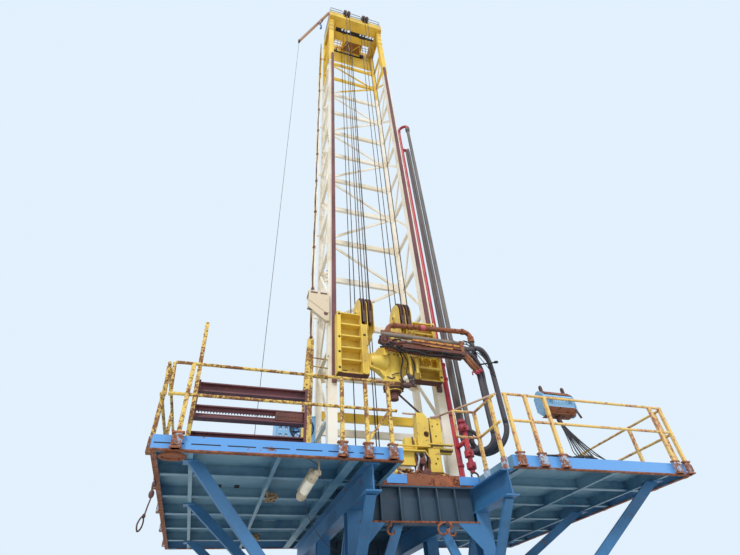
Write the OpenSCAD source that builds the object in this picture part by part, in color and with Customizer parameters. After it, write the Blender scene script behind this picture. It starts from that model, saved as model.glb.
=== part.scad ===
// Portable land drilling rig with a top drive: floor on a braced substructure, open-front
// lattice mast, crown, guided carriage, standpipe and hanging hoses.
// Frame: X to the right, Y to the rear, Z up, millimetres, origin on the ground at the middle.

/* [Floor] */
// Height of the drill floor above the ground
floor_top = 4070; // [3500:10:5000]
// Overall width of the floor
floor_w = 9210; // [8600:10:9800]
// Overall depth of the floor, front to rear
floor_l = 6400; // [6000:10:7000]
// Depth of the blue edge channel
edge_h = 200; // [160:5:260]
// Width of the edge channel's flanges
edge_flange = 75; // [50:5:100]
// Thickness of the edge channel
edge_t = 14; // [8:1:20]
// Thickness of the floor plate
plate_t = 12; // [8:1:20]
// Depth of the floor joists
joist_h = 160; // [100:5:180]
// Width of the floor joists' lower flange
joist_w = 110; // [60:5:150]
// Thickness of the floor joists' web and flange
joist_t = 14; // [8:1:25]
// Width of the long floor beams' lower flange
beam_flange = 60; // [40:5:120]
// Depth of the recess in the floor's front
recess_l = 1200; // [900:10:1400]
// Distance from the mast's middle to the recess's left edge
recess_left = 680; // [500:10:900]
// Distance from the mast's middle to the recess's right edge
recess_right = 1240; // [900:10:1300]

/* [Substructure] */
// Sideways place of the mast's middle on the floor
mast_x = -380; // [-600:10:0]
// Half distance between the two column lines
col_off = 1150; // [1100:10:1200]
// Half width of the floor's centre part
centre_half = 1440; // [1400:10:1500]
// Width of the columns and of the skids' beams
col_w = 240; // [200:10:280]
// Thickness of the columns' flanges and webs
col_t = 24; // [16:1:40]
// Height of the base skids
skid_h = 450; // [300:10:600]
// Width of the base skids
skid_w = 800; // [600:10:900]
// Place of the front columns, in front of the rig's middle
front_col = 1950; // [1850:10:2050]
// Place of the middle columns, behind the rig's middle
mid_col = 250; // [0:10:500]
// Place of the rear columns, behind the rig's middle
rear_col = 2300; // [2000:10:2600]
// Depth of the long beams that carry the floor
carrier_h = 400; // [300:10:500]
// Depth of the front and rear girder
girder_h = 570; // [450:10:700]
// Height of the substructure's middle cross beam
tie_z = 1900; // [1500:10:2200]
// Width of the braces
brace_w = 150; // [100:5:200]
// Thickness of the braces and their end plates
brace_t = 60; // [40:5:90]

/* [Handrails] */
// Height of the top rail's axis above the floor
rail_h = 1075; // [1000:5:1150]
// Height of the middle rail's axis above the floor
mid_rail_h = 580; // [400:10:700]
// Diameter of the rails
rail_d = 48; // [40:1:60]
// Width of the square posts
post_w = 56; // [40:1:70]
// Width of the post sockets on the floor's edge
socket_w = 110; // [90:5:140]
// Reach of the post sockets from the floor's edge
socket_l = 64; // [60:1:90]

/* [Mast] */
// Height of the crown's top above the ground
crown_top = 27400; // [24000:100:29000]
// Half width of the mast over its legs
mast_half = 1370; // [1350:10:1400]
// Place of the mast's front face, in front of the rig's middle
mast_front = 1100; // [1000:10:1200]
// Depth of the mast, front to rear
mast_depth = 1450; // [1300:10:1600]
// Width of the front legs
leg_w = 200; // [180:5:220]
// Width of the rear legs
rear_leg_w = 150; // [120:5:180]
// Height of the lowest girt above the ground
first_girt = 5470; // [5200:10:5800]
// Number of girts up the mast
girts = 13; // [11:1:13]
// Width of the girts at the mast's sides
girt_w = 90; // [60:5:120]
// Depth of the girts at the mast's back
back_girt_h = 170; // [120:5:220]
// Width of the mast's diagonals
diag_w = 80; // [50:5:110]
// Width of the guide rails
guide_w = 100; // [80:5:120]
// Depth of the guide rails
guide_d = 60; // [40:5:80]
// Height of the guide rails' lower ends
guide_bot = 6200; // [5600:10:6280]
// Height of the guide rails' upper ends
guide_top = 22700; // [22400:50:24000]

/* [Crown] */
// Depth of the crown box
crown_h = 2000; // [1600:50:2400]
// Reach of the crown in front of the mast's front face
crown_reach = 160; // [100:10:300]
// Outer radius of the sheaves
sheave_r = 380; // [340:5:400]
// Thickness of a sheave
sheave_w = 90; // [70:5:100]
// Distance between the two sheaves of a pair
sheave_pitch = 160; // [145:5:170]
// Half distance between the left and right pair
pair_off = 495; // [480:5:500]
// Depth of a sheave's rope groove
groove_d = 40; // [20:1:50]
// Radius of the sheaves' shafts
shaft_r = 55; // [40:1:70]
// Diameter of the drill line
line_d = 26; // [20:1:32]
// Length of the jib
jib_l = 2150; // [1800:50:2400]

/* [Carriage] */
// Height of the carriage frames' lower edge above the ground, at its lowest stop
frame_z = 6310; // [6200:10:6450]
// Height of the carriage frames
frame_h = 1590; // [1500:10:1700]
// Width of a carriage frame
frame_w = 710; // [650:5:730]
// Depth of the carriage frames
frame_d = 254; // [200:2:280]
// Thickness of the carriage frames' plates
frame_t = 25; // [15:1:35]
// Number of bays in a carriage frame
frame_bays = 5; // [4:1:6]
// Running gap between the carriage and the mast
run_gap = 6; // [5:1:12]
// Travel of the carriage up the mast
travel = 14000; // [12000:100:14500]
// Radius of the top drive's housing
drive_r = 190; // [170:5:210]
// Place of the well's middle, in front of the rig's middle
well_y = 1395; // [1350:5:1420]

/* [Pipes and hoses] */
// Radius of the standpipe
stand_r = 57; // [45:1:70]
// Height of the standpipe's gooseneck above the ground
stand_top = 17460; // [16000:10:18000]
// Radius of the mud hose
mud_r = 57; // [45:1:60]
// Radius of the service loop
loop_r = 55; // [40:1:60]
// Radius of the gooseneck pipe on the top drive
wash_r = 60; // [45:1:70]

/* [Rotary table] */
// Radius of the rotary table's through bore
rotary_bore = 222; // [200:1:240]
// Radius of the rotary table's body
rotary_r = 360; // [340:5:380]

/* [Hidden] */

floor_bot = floor_top - edge_h;
half_w = floor_w / 2;
half_l = floor_l / 2;
recess_y = -half_l + recess_l;
carrier_z = floor_bot - carrier_h;
joist_first = -2100;
joist_pitch = 1125;
joist_n = 5;
beam_outer = 510;
beam_inner = 1690;
beam_t = 20;
brace_feet = [1350, 1990, 1990];
post_off = socket_l / 2;
socket_drop = 190;
front_y = -half_l - post_off;
side_x = half_w + post_off;
rear_y = half_l + post_off;
mast_fy = -mast_front;
mast_by = -mast_front + mast_depth;
crown_bot = crown_top - crown_h;
bay = (crown_bot - 500 - first_girt) / (girts - 1);
low_girt_z = 5670;
low_girt_h = 155;
base_beam_z = 5950;
base_beam_h = 200;
guide_off = mast_half - 130;
sheave_y = mast_fy + 30;
crown_axis_z = crown_top + 200;
platform_z = crown_top - 450;
block_z = frame_z + frame_h + 270;
line_y = sheave_r - groove_d + line_d / 2;
cheek_t = 20;
cheek_r = 330;
frame_out = guide_off - 5;
frame_in = frame_out - frame_w;
frame_back = mast_fy - guide_d - run_gap;
drive_z = frame_z - 310;
drive_top = drive_z + 1050;
wash_z = drive_top + 550;
arm_y = -1850;
arm_z = drive_top - 230;
stand_x = mast_x + mast_half + 95;
stand_y = mast_fy + 100;
mud_a = [stand_x + 260, stand_y - 250];
mud_b = [stand_x + 565, stand_y - 650];
mud_z = 5060;
loop_a = [stand_x + 235, stand_y + 70];
loop_b = [stand_x + 905, stand_y - 690];
loop_z = 5300;
mud_hang = 17200;
loop_hang = 16300;
sides = 10;
skin_gap = 0.3;
gate_left = mast_x - recess_left;
gate_right = mast_x + recess_right;
rung_pitch = 305;
yellow = [0.86, 0.76, 0.25];
rust = [0.50, 0.27, 0.18];
blue = [0.30, 0.55, 0.85];
deep_blue = [0.16, 0.36, 0.55];
cream = [0.93, 0.88, 0.76];
maroon = [0.45, 0.25, 0.27];
red = [0.70, 0.20, 0.25];
dark = [0.18, 0.18, 0.22];

// General shapes

module box(x0, x1, y0, y1, z0, z1) {
    translate([x0, y0, z0]) cube([x1 - x0, y1 - y0, z1 - z0]);
}

// Bar of w by t from point p to point q; t lies across Y where the bar runs in an XZ plane
module bar(p, q, w, t) {
    d = q - p;
    len = norm(d);
    flat = norm([d[0], d[1]]);
    translate(p) rotate([0, 0, flat < 1 ? 0 : atan2(d[1], d[0])]) rotate([0, atan2(flat, d[2]), 0])
        translate([-w / 2, -t / 2, 0]) cube([w, t, len]);
}

module rod(p, q, r) {
    d = q - p;
    flat = norm([d[0], d[1]]);
    translate(p) rotate([0, 0, flat < 1 ? 0 : atan2(d[1], d[0])]) rotate([0, atan2(flat, d[2]), 0])
        cylinder(r = r, h = norm(d), $fn = 24);
}

// I-shaped profile, b wide and h high, standing on the origin
module i_profile(b, h, t) {
    translate([-b / 2, 0]) square([b, t]);
    translate([-b / 2, h - t]) square([b, t]);
    translate([-t / 2, 0]) square([t, h]);
}

module i_beam_y(x, y0, y1, z, b, h, t) {
    translate([x, y1, z]) rotate([90, 0, 0]) linear_extrude(y1 - y0) i_profile(b, h, t);
}

module i_beam_x(x0, x1, y, z, b, h, t) {
    translate([x0, y, z]) rotate([90, 0, 90]) linear_extrude(x1 - x0) i_profile(b, h, t);
}

module i_column(x, y, z0, z1, b, t) {
    translate([x, y - b / 2, z0]) linear_extrude(z1 - z0) i_profile(b, b, t);
}

// Base

module base_skid(side) {
    x = mast_x + side * col_off;
    i_beam_y(x, -half_l + 300, half_l - 300, 0, skid_w, skid_h, col_t);
    for (y = [-front_col, mid_col, rear_col])
        box(x - skid_w / 2, x + skid_w / 2, y - col_t / 2, y + col_t / 2, col_t / 2, skid_h - col_t / 2);
    for (y = [-half_l + 300, half_l - 300 - col_t])
        box(x - skid_w / 2, x + skid_w / 2, y, y + col_t, col_t / 2, skid_h - col_t / 2);
}

module left_base_skid() { color(deep_blue) base_skid(-1); }
module right_base_skid() { color(deep_blue) base_skid(1); }

module base_cross_beams() {
    x = col_off - skid_w / 2;
    color(deep_blue) for (y = [-front_col, mid_col, rear_col])
        i_beam_x(mast_x - x, mast_x + x, y, skid_h * 0.2, col_w, skid_h * 0.6, col_t);
}

// Substructure

module column_frame(side) {
    x = mast_x + side * col_off;
    for (y = [-front_col, mid_col, rear_col]) i_column(x, y, skid_h, carrier_z, col_w, col_t);
    i_beam_y(x, -half_l + 100, half_l - 100, carrier_z, col_w, carrier_h, col_t);
    half = col_w / 2;
    bar([x, -front_col + half, carrier_z], [x, mid_col - half, skid_h + half], brace_t, brace_w);
    bar([x, mid_col + half, skid_h + half], [x, rear_col - half, carrier_z], brace_t, brace_w);
    bar([x, -half_l + 250, carrier_z], [x, -front_col - half, carrier_z - 1000], brace_t, brace_w);
}

module left_column_frame() { color(deep_blue) column_frame(-1); }
module right_column_frame() { color(deep_blue) column_frame(1); }

module cross_frame(y) {
    x0 = mast_x - col_off + col_w / 2;
    x1 = mast_x + col_off - col_w / 2;
    i_beam_x(x0, x1, y, floor_bot - girder_h, col_w, girder_h, col_t);
    stiff = (x1 - x0) / 6;
    for (i = [1 : 5]) box(x0 + i * stiff - col_t / 2, x0 + i * stiff + col_t / 2,
        y - col_w / 2 + 10, y + col_w / 2 - 10, floor_bot - girder_h + col_t / 2, floor_bot - col_t / 2);
    i_beam_x(x0, x1, y, tie_z - 100, col_w * 0.6, 200, col_t * 0.7);
    top = floor_bot - girder_h;
    for (side = [-1, 1]) {
        bar([mast_x + side * 380, y, top], [mast_x + side * (col_off - col_w / 2 - 60), y, tie_z + 100],
            brace_w, brace_t);
        difference() {
            bar([mast_x + side * 100, y, tie_z - 100],
                [mast_x + side * (col_off - col_w / 2 - 20), y, skid_h - 60], brace_w, brace_t);
            box(mast_x - half_w, mast_x + half_w, y - brace_t, y + brace_t, 0, skid_h);
        }
    }
}

module front_frame() { color(deep_blue) cross_frame(-front_col); }
module rear_frame() { color(deep_blue) cross_frame(rear_col); }

// Slanting strut from the wing's long beam down to a column
module wing_brace(side, y_top, y_foot, foot_z) {
    xt = side > 0 ? half_w - beam_outer : -half_w + beam_outer;
    xf = mast_x + side * (col_off + col_w / 2);
    pad = 20;
    box(xt - 100, xt + 100, y_top - 100, y_top + 100, floor_bot - pad, floor_bot);
    x_in = side > 0 ? xf : xf - pad;
    box(x_in, x_in + pad, y_foot - 100, y_foot + 100, foot_z - 130, foot_z + 130);
    intersection() {
        bar([xt, y_top, floor_bot + 50], [xf - side * 60, y_foot, foot_z - 50], brace_w, brace_t);
        box(side > 0 ? xf + 1 : -half_w, side > 0 ? half_w : xf - 1,
            -half_l, half_l, 0, floor_bot - 1);
    }
}

module wing_braces() {
    color(deep_blue) for (side = [-1, 1]) {
        wing_brace(side, -2800, -front_col, brace_feet[0]);
        wing_brace(side, -630, mid_col, brace_feet[1]);
        wing_brace(side, 2400, rear_col, brace_feet[2]);
    }
}

// Floor

// Channel along one edge; the web is on the outer side
module edge_x(x0, x1, y, out) {
    y0 = out < 0 ? y : y - edge_flange;
    box(x0, x1, out < 0 ? y : y - edge_t, out < 0 ? y + edge_t : y, floor_bot, floor_top);
    box(x0, x1, y0, y0 + edge_flange, floor_bot, floor_bot + edge_t);
}

module edge_y(x, y0, y1, out) {
    x0 = out < 0 ? x : x - edge_flange;
    box(out < 0 ? x : x - edge_t, out < 0 ? x + edge_t : x, y0, y1, floor_bot, floor_top);
    box(x0, x0 + edge_flange, y0, y1, floor_bot, floor_bot + edge_t);
}

module joist(x0, x1, y) {
    z = floor_top - plate_t - joist_h;
    box(x0, x1, y - joist_w / 2, y + joist_w / 2, z, z + joist_t);
    box(x0, x1, y - joist_t / 2, y + joist_t / 2, z, floor_top - plate_t);
}

module deck_panel(x0, x1, y0, y1) {
    box(x0, x1, y0, y1, floor_top - plate_t, floor_top);
    edge_x(x0, x1, y0, -1);
    edge_x(x0, x1, y1, 1);
    edge_y(x0, y0, y1, -1);
    edge_y(x1, y0, y1, 1);
    for (i = [0 : joist_n - 1]) {
        y = joist_first + i * joist_pitch;
        if (y > y0 + edge_flange && y < y1 - edge_flange) joist(x0 + edge_t, x1 - edge_t, y);
    }
}

module long_beam(x) {
    box(x - beam_flange / 2, x + beam_flange / 2, -half_l + edge_t, half_l - edge_t, floor_bot, floor_bot + beam_t);
    box(x - beam_t / 2, x + beam_t / 2, -half_l + edge_t, half_l - edge_t, floor_bot, floor_top - plate_t);
}

module left_wing_deck() {
    color(blue) {
        deck_panel(-half_w, mast_x - centre_half, -half_l, half_l);
        long_beam(-half_w + beam_outer);
        long_beam(-half_w + beam_inner);
    }
}

module right_wing_deck() {
    color(blue) {
        deck_panel(mast_x + centre_half, half_w, -half_l, half_l);
        long_beam(half_w - beam_outer);
        long_beam(half_w - beam_inner);
    }
}

module centre_deck() {
    x0 = mast_x - centre_half;
    x1 = mast_x + centre_half;
    color(blue) difference() {
        union() {
            deck_panel(x0, x1, recess_y, half_l);
            translate([mast_x, -well_y, floor_bot]) cylinder(r = rotary_r + 40, h = edge_h - plate_t, $fn = 48);
        }
        translate([mast_x, -well_y, floor_bot - 1]) cylinder(r = rotary_r + 2, h = edge_h + 2, $fn = 48);
    }
}

// The two strips of floor beside the recess
module recess_decks() {
    color(blue) {
        deck_panel(mast_x - centre_half, gate_left, -half_l, recess_y);
        deck_panel(gate_right, mast_x + centre_half, -half_l, recess_y);
    }
}

module rotary_table() {
    color(rust) translate([mast_x, -well_y, 0]) difference() {
        union() {
            translate([0, 0, floor_bot]) cylinder(r = rotary_r, h = edge_h, $fn = 48);
            translate([0, 0, floor_top]) cylinder(r = rotary_r + 80, h = 60, $fn = 48);
        }
        translate([0, 0, floor_bot - 1]) cylinder(r = rotary_bore, h = edge_h + 70, $fn = 48);
    }
}

// Handrails

// Post with its socket; the run goes along X at y = 0, with the floor's edge at +post_off
module rail_post(x) {
    box(x - post_w / 2, x + post_w / 2, -post_w / 2, post_w / 2, floor_top - 150, floor_top + rail_h);
    box(x - socket_w / 2, x + socket_w / 2, -post_off, post_off,
        floor_top - socket_drop, floor_top + 20);
}

module rail_run(x0, x1, posts) {
    for (h = [mid_rail_h, rail_h]) rod([x0, 0, floor_top + h], [x1, 0, floor_top + h], rail_d / 2);
    for (x = posts) rail_post(x);
}

module left_front_handrail() {
    color(yellow) translate([0, front_y, 0]) {
        posts = [-half_w + 313, gate_left - 959, gate_left - 565, gate_left - 175];
        rail_run(-half_w + 60, gate_left - 50, posts);
        bar([posts[2], 0, floor_top + 60], [posts[3], 0, floor_top + mid_rail_h], 40, 20);
    }
}

module left_side_handrail() {
    color(yellow) translate([-side_x, 0, 0]) rotate([0, 0, -90])
        rail_run(-half_l + 60, half_l, [-half_l + 300, -1450, 0, 1450, half_l - 200]);
}

module rear_handrail() {
    bays = 6;
    end = half_w - 155;
    color(yellow) translate([0, rear_y, 0]) rotate([0, 0, 180])
        rail_run(-half_w + 60, half_w - 60, [for (i = [0 : bays]) end * (2 * i / bays - 1)]);
}

module right_side_handrail() {
    color(yellow) translate([side_x, 0, 0]) rotate([0, 0, 90])
        rail_run(-half_l + 60, half_l - 60, [-half_l + 200, -half_l + 935, -750, 750, half_l - 300]);
}

module right_front_handrail() {
    color(yellow) translate([0, front_y, 0])
        rail_run(gate_right + 100, half_w - 20, [gate_right + 140, gate_right + 560, gate_right + 973, half_w - 320, half_w - 65]);
}

// Rail along the right edge of the recess, with a short guard frame reaching over it
module recess_handrail() {
    x = gate_right;
    reach = 450;
    color(yellow) {
        translate([x - post_off, -half_l, 0]) rotate([0, 0, 90]) mirror([0, 1, 0])
            rail_run(40, 840, [210, 810]);
        for (h = [mid_rail_h, rail_h])
            rod([x - post_off - reach, -half_l + 810, floor_top + h], [x - post_off, -half_l + 810, floor_top + h],
                rail_d / 2);
        rod([x - post_off - reach, -half_l + 810, floor_top + mid_rail_h],
            [x - post_off - reach, -half_l + 810, floor_top + rail_h], rail_d / 2);
    }
}

// On the floor

// Three maroon beams between two posts, stored behind the front rail; the middle one is a serrated grating
rack_x0 = -half_w + 405;
rack_x1 = -2490;
rack_y = -2600;
rack_w = 150;
rack_post = 40;

module beam_rack() {
    color(maroon) {
        for (x = [rack_x0, rack_x1]) box(x - rack_post / 2, x + rack_post / 2, rack_y - rack_w / 2 - rack_post,
            rack_y - rack_w / 2, floor_top, floor_top + 1095);
        for (z = [[112, 170], [925, 155]])
            i_beam_x(rack_x0, rack_x1, rack_y, floor_top + z[0], rack_w, z[1], 20);
        // grating: two flanged rails, a middle strip and a closed right end
        for (z = [500, 572, 635]) box(rack_x0, rack_x1, rack_y - 20, rack_y + 20, floor_top + z,
            floor_top + z + (z == 572 ? 14 : 65));
        box(rack_x1 - 480, rack_x1, rack_y - 20, rack_y + 20, floor_top + 500, floor_top + 700);
        for (z = [500, 680]) box(rack_x0, rack_x1, rack_y - rack_w / 2, rack_y + rack_w / 2, floor_top + z,
            floor_top + z + 20);
        box(rack_x0, rack_x0 + 30, rack_y - 20, rack_y + 20, floor_top + 500, floor_top + 700);
    }
}

module leaning_pole() {
    y = rack_y - rack_w / 2 - rack_post - 32;
    color(yellow) difference() {
        bar([rack_x0 + 3, y, floor_top - 60], [rack_x0 - 70, y, floor_top + 2150], 60, 60);
        box(-half_w, 0, -half_l, 0, floor_bot, floor_top);
    }
}

// Tall cooler box with a round fan opening near its top
cool_x = -2730;
cool_y = -600;
cool_w = 830;
cool_h = 1570;
cool_d = 420;
fan_x = cool_x + 540;
fan_z = floor_top + 1300;
fan_r = 240;
fan_recess = 160;

module cooler_box() {
    color(blue) difference() {
        box(cool_x, cool_x + cool_w, cool_y, cool_y + cool_d, floor_top, floor_top + cool_h);
        translate([fan_x, cool_y + fan_recess, fan_z]) rotate([90, 0, 0])
            cylinder(r = fan_r, h = fan_recess + 1, $fn = 48);
        for (x = [105, 225], z = [1136, 1276]) translate([cool_x + x, cool_y + 60, floor_top + z])
            rotate([90, 0, 0]) cylinder(r = 33, h = 100, $fn = 24);
    }
}

module cooler_fan() {
    color(deep_blue) translate([fan_x, cool_y + fan_recess, fan_z]) rotate([90, 0, 0]) {
        cylinder(r = 60, h = 90, $fn = 24);
        for (i = [0 : 5]) rotate([0, 0, i * 60]) translate([40, -45, 35]) rotate([25, 0, 0])
            cube([fan_r - 60, 90, 8]);
    }
}

// Junction box hung behind the right front rail on two straps
module junction_box() {
    x0 = 1900;
    x1 = 2590;
    yb = front_y + rail_d / 2;
    color(blue) {
        difference() {
            box(x0, x1, yb + 40, yb + 340, floor_top + 830, floor_top + 1300);
            translate([x0 - 1, yb + 40, floor_top + 830]) rotate([45, 0, 0])
                translate([0, -100, -100]) cube([x1 - x0 + 2, 200, 200]);
        }
        for (x = [x0 + 100, x1 - 160]) box(x, x + 60, yb, yb + 60, floor_top + 1040, floor_top + 1110);
    }
}

// Tongs and their yellow frame beside the well
module floor_tongs() {
    y = -1650;
    bar_z = 4650;
    color(yellow) {
        box(60, 120, y + 190, y + 260, floor_top, bar_z + 650);
        box(400, 460, y + 190, y + 260, floor_top, bar_z + 600);
        box(-500, 680, y + 140, y + 200, bar_z, bar_z + 80);
        box(-500, 20, y + 60, y + 150, bar_z - 10, bar_z + 20);
        box(140, 680, y + 60, y + 150, bar_z + 50, bar_z + 80);
        difference() {
            translate([0, y + 200, bar_z]) rotate([90, 0, 0]) linear_extrude(200)
                polygon([[-80, 70], [-50, 760], [110, 760], [205, 630], [170, 70]]);
            translate([120, y - 10, bar_z + 320]) rotate([-90, 0, 0]) cylinder(r = 60, h = 100, $fn = 24);
        }
        box(225, 465, y + 20, y + 200, bar_z + 60, bar_z + 680);
        difference() {
            box(-330, -90, y + 60, y + 200, bar_z + 10, bar_z + 250);
            box(-180, -130, y + 50, y + 120, bar_z + 80, bar_z + 200);
        }
        box(-500, -160, y + 60, y + 150, bar_z - 270, bar_z);
        difference() {
            box(130, 370, y + 30, y + 150, bar_z - 390, bar_z + 60);
            for (p = [[300, -140], [250, -235]]) translate([p[0], y + 20, bar_z + p[1]])
                rotate([-90, 0, 0]) cylinder(r = 22, h = 60, $fn = 20);
        }
        box(60, 460, y + 130, y + 260, floor_top, floor_top + 60);
    }
}

// Plain cover over the winch that takes the lines up at the mast's back
winch_w = 1700;
winch_y = 100;
winch_d = 1000;
winch_h = 900;
winch_r = 420;

module winch_cover() {
    color(cream) {
        box(mast_x - winch_w / 2, mast_x + winch_w / 2, winch_y, winch_y + winch_d, floor_top, floor_top + winch_h);
        translate([mast_x - winch_w / 2, winch_y + winch_d - winch_r - 20, floor_top + winch_h])
            rotate([0, 90, 0]) cylinder(r = winch_r, h = winch_w, $fn = 48);
    }
}

// Yellow post that stands beside the mast's left leg
module side_post() {
    x = mast_x - mast_half - 430;
    color(yellow) {
        box(x, x + 100, mast_fy, mast_fy + 60, floor_top, 7250);
        box(x - 60, x + 160, mast_fy - 60, mast_fy + 120, floor_top, floor_top + 20);
        box(x + 100, x + 430, mast_fy, mast_fy + 60, 6300, 6360);
    }
}

// Tube lamp hung from the left wing's floor plate, tilted down to the rear
module deck_lamp() {
    hub = [-2300, -2915, 3765];
    near = [-2362, -2900, 3738];
    far = [-2400, -2400, 3530];
    color(cream) {
        translate([hub[0], hub[1], hub[2] - 40]) cylinder(r = 16, h = floor_top - plate_t - hub[2] + 40, $fn = 24);
        translate([hub[0] - 80, hub[1] - 25, hub[2] - 55]) cube([100, 60, 60]);
        bar(near, far, 130, 110);
    }
}

// Mast

module side_lattice() {
    y0 = mast_fy + leg_w;
    y1 = mast_by - rear_leg_w;
    x = mast_half - girt_w;
    for (i = [0 : girts - 1]) {
        z = first_girt + i * bay;
        box(x, x + girt_w, y0, y1, z - girt_w / 2, z + girt_w / 2);
        if (i < girts - 1) {
            up = i % 2 == 0;
            bar([x + girt_w / 2, up ? y0 : y1, z], [x + girt_w / 2, up ? y1 : y0, z + bay], diag_w, diag_w / 2);
        }
    }
}

module mast_side() {
    box(mast_half - leg_w, mast_half, mast_fy, mast_fy + leg_w, floor_top, crown_bot);
    box(mast_half - rear_leg_w, mast_half, mast_by - rear_leg_w, mast_by, floor_top, crown_bot);
    for (y = [mast_fy - 50, mast_by - rear_leg_w - 75])
        box(mast_half - leg_w - 90, mast_half + 10, y, y + leg_w + 100, floor_top, floor_top + 30);
    side_lattice();
}

module mast_right_side() { color(cream) translate([mast_x, 0, 0]) mast_side(); }
module mast_left_side() { color(cream) translate([mast_x, 0, 0]) mirror([1, 0, 0]) mast_side(); }

module mast_back() {
    x = mast_half - rear_leg_w;
    y = mast_by - rear_leg_w / 2;
    color(cream) translate([mast_x, 0, 0]) for (i = [1 : girts - 1]) {
        z = first_girt + i * bay;
        box(-x, x, y - girt_w / 2, y + girt_w / 2, z - back_girt_h / 2, z + back_girt_h / 2);
        if (i == 1) box(-x, x, y - girt_w / 2, y + girt_w / 2, low_girt_z - low_girt_h / 2, low_girt_z + low_girt_h / 2);
        if (i < girts - 1) {
            up = i % 2 == 0 ? 1 : -1;
            intersection() {
                bar([-up * x, y, z], [up * x, y, z + bay], diag_w, girt_w / 2);
                box(-x, x, y - girt_w, y + girt_w, z, z + bay);
            }
        }
    }
}

module guide_rails() {
    color(maroon) translate([mast_x, 0, 0]) for (side = [-1, 1])
        box(side * guide_off - guide_w / 2, side * guide_off + guide_w / 2,
            mast_fy - guide_d, mast_fy, guide_bot, guide_top);
}

module mast_ladder() {
    x = mast_x - mast_half;
    y = mast_by - rear_leg_w / 2;
    out = 160;
    width = 380;
    color(cream) {
        for (s = [0, width]) box(x - out - 50, x - out, y - s - 20, y - s, floor_top, crown_bot);
        for (z = [floor_top + rung_pitch : rung_pitch : crown_bot - 50]) box(x - out - 35, x - out - 15,
            y - width, y - 20, z - 10, z + 10);
        for (i = [0 : 2 : girts - 1]) box(x - out, x, y - 50, y, first_girt + i * bay + 100,
            first_girt + i * bay + 150);
    }
}

// Cream box bracket on the left leg, with a sloping gusset below
module ladder_landing() {
    x = mast_x - mast_half;
    reach = 510;
    z = 8600;
    color(cream) {
        box(x - reach, x, mast_fy - 80, mast_fy + 120, z - 150, z);
        translate([x, mast_fy + 20, z - 150]) rotate([90, 0, 0]) linear_extrude(100)
            polygon([[0, 0], [-reach, 0], [-reach, -350], [-80, -700], [0, -700]]);
    }
}

module mast_base_beam() {
    x = mast_half - rear_leg_w;
    color(yellow) box(mast_x - x, mast_x + x, mast_by - 130, mast_by - 20, base_beam_z, base_beam_z + base_beam_h);
}

// Crown

module crown_frame() {
    x = mast_half;
    yf = mast_fy - crown_reach;
    yb = mast_by;
    t = 30;
    color(yellow) translate([mast_x, 0, 0]) {
        // front beam with slots for the sheaves, and side plates
        difference() {
            box(-x, x, yf, yf + 140, platform_z, crown_top);
            for (s = [-pair_off, pair_off]) box(s - sheave_pitch + cheek_t / 2, s + sheave_pitch - cheek_t / 2,
                yf - 1, yf + 141, crown_axis_z - sheave_r - 20, crown_top + 1);
        }
        for (side = [-1, 1]) box(side < 0 ? -x : x - t, side < 0 ? -x + t : x, yf + 140, yb,
            crown_top - 700, crown_top);
        // stub legs down to the mast
        for (side = [-1, 1]) {
            box(side < 0 ? -x : x - leg_w, side < 0 ? -x + leg_w : x, mast_fy, mast_fy + leg_w, crown_bot,
                platform_z);
            box(side < 0 ? -x : x - rear_leg_w, side < 0 ? -x + rear_leg_w : x, yb - rear_leg_w, yb, crown_bot,
                platform_z);
        }
        // back plate
        box(-x + t, x - t, yb - 60, yb, crown_bot + 50, crown_top);
        // platform with a slot under the sheaves and two openings at the back
        difference() {
            box(-x + t, x - t, yf + 140, yb - 60, platform_z, platform_z + 20);
            box(-980, 1140, -760, -550, platform_z - 1, platform_z + 21);
            box(-860, -450, -140, yb - 59, platform_z - 1, platform_z + 21);
            box(660, 1010, -230, yb - 59, platform_z - 1, platform_z + 21);
        }
        // cross beams that carry the sheave shafts
        for (s = [-pair_off, pair_off], c = [-1, 0, 1]) {
            xc = s + c * sheave_pitch;
            box(xc - cheek_t / 2, xc + cheek_t / 2, yf + 140, yb - 60, crown_top - 300, crown_top);
            translate([xc - cheek_t / 2, sheave_y, crown_axis_z]) rotate([0, 90, 0])
                cylinder(r = shaft_r + 60, h = cheek_t, $fn = 32);
            box(xc - cheek_t / 2, xc + cheek_t / 2, sheave_y - 115, sheave_y + 115, crown_top - 1, crown_axis_z);
        }
        for (s = [-pair_off, pair_off]) translate([s - sheave_pitch, sheave_y, crown_axis_z])
            rotate([0, 90, 0]) cylinder(r = shaft_r, h = 2 * sheave_pitch, $fn = 32);
    }
}

// Grooved disc on its hub, with its axis along X
module sheave() {
    rotate([0, 90, 0]) rotate_extrude($fn = 96) polygon([
        [shaft_r + 0.1, -sheave_w / 2], [sheave_r * 0.35, -sheave_w / 2], [sheave_r * 0.4, -12],
        [sheave_r - 2 * groove_d, -12], [sheave_r - groove_d, -sheave_w / 2], [sheave_r, -sheave_w / 2],
        [sheave_r, -line_d / 2 - 10], [sheave_r - groove_d, -line_d / 2],
        [sheave_r - groove_d, line_d / 2], [sheave_r, line_d / 2 + 10],
        [sheave_r, sheave_w / 2], [sheave_r - groove_d, sheave_w / 2], [sheave_r - 2 * groove_d, 12],
        [sheave_r * 0.4, 12], [sheave_r * 0.35, sheave_w / 2], [shaft_r + 0.1, sheave_w / 2]]);
}

module sheave_pair(side, z) {
    for (c = [-0.5, 0.5]) translate([mast_x + side * pair_off + c * sheave_pitch, sheave_y, z]) sheave();
}

module crown_sheaves_left() { color(rust) sheave_pair(-1, crown_axis_z); }
module crown_sheaves_right() { color(rust) sheave_pair(1, crown_axis_z); }

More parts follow.
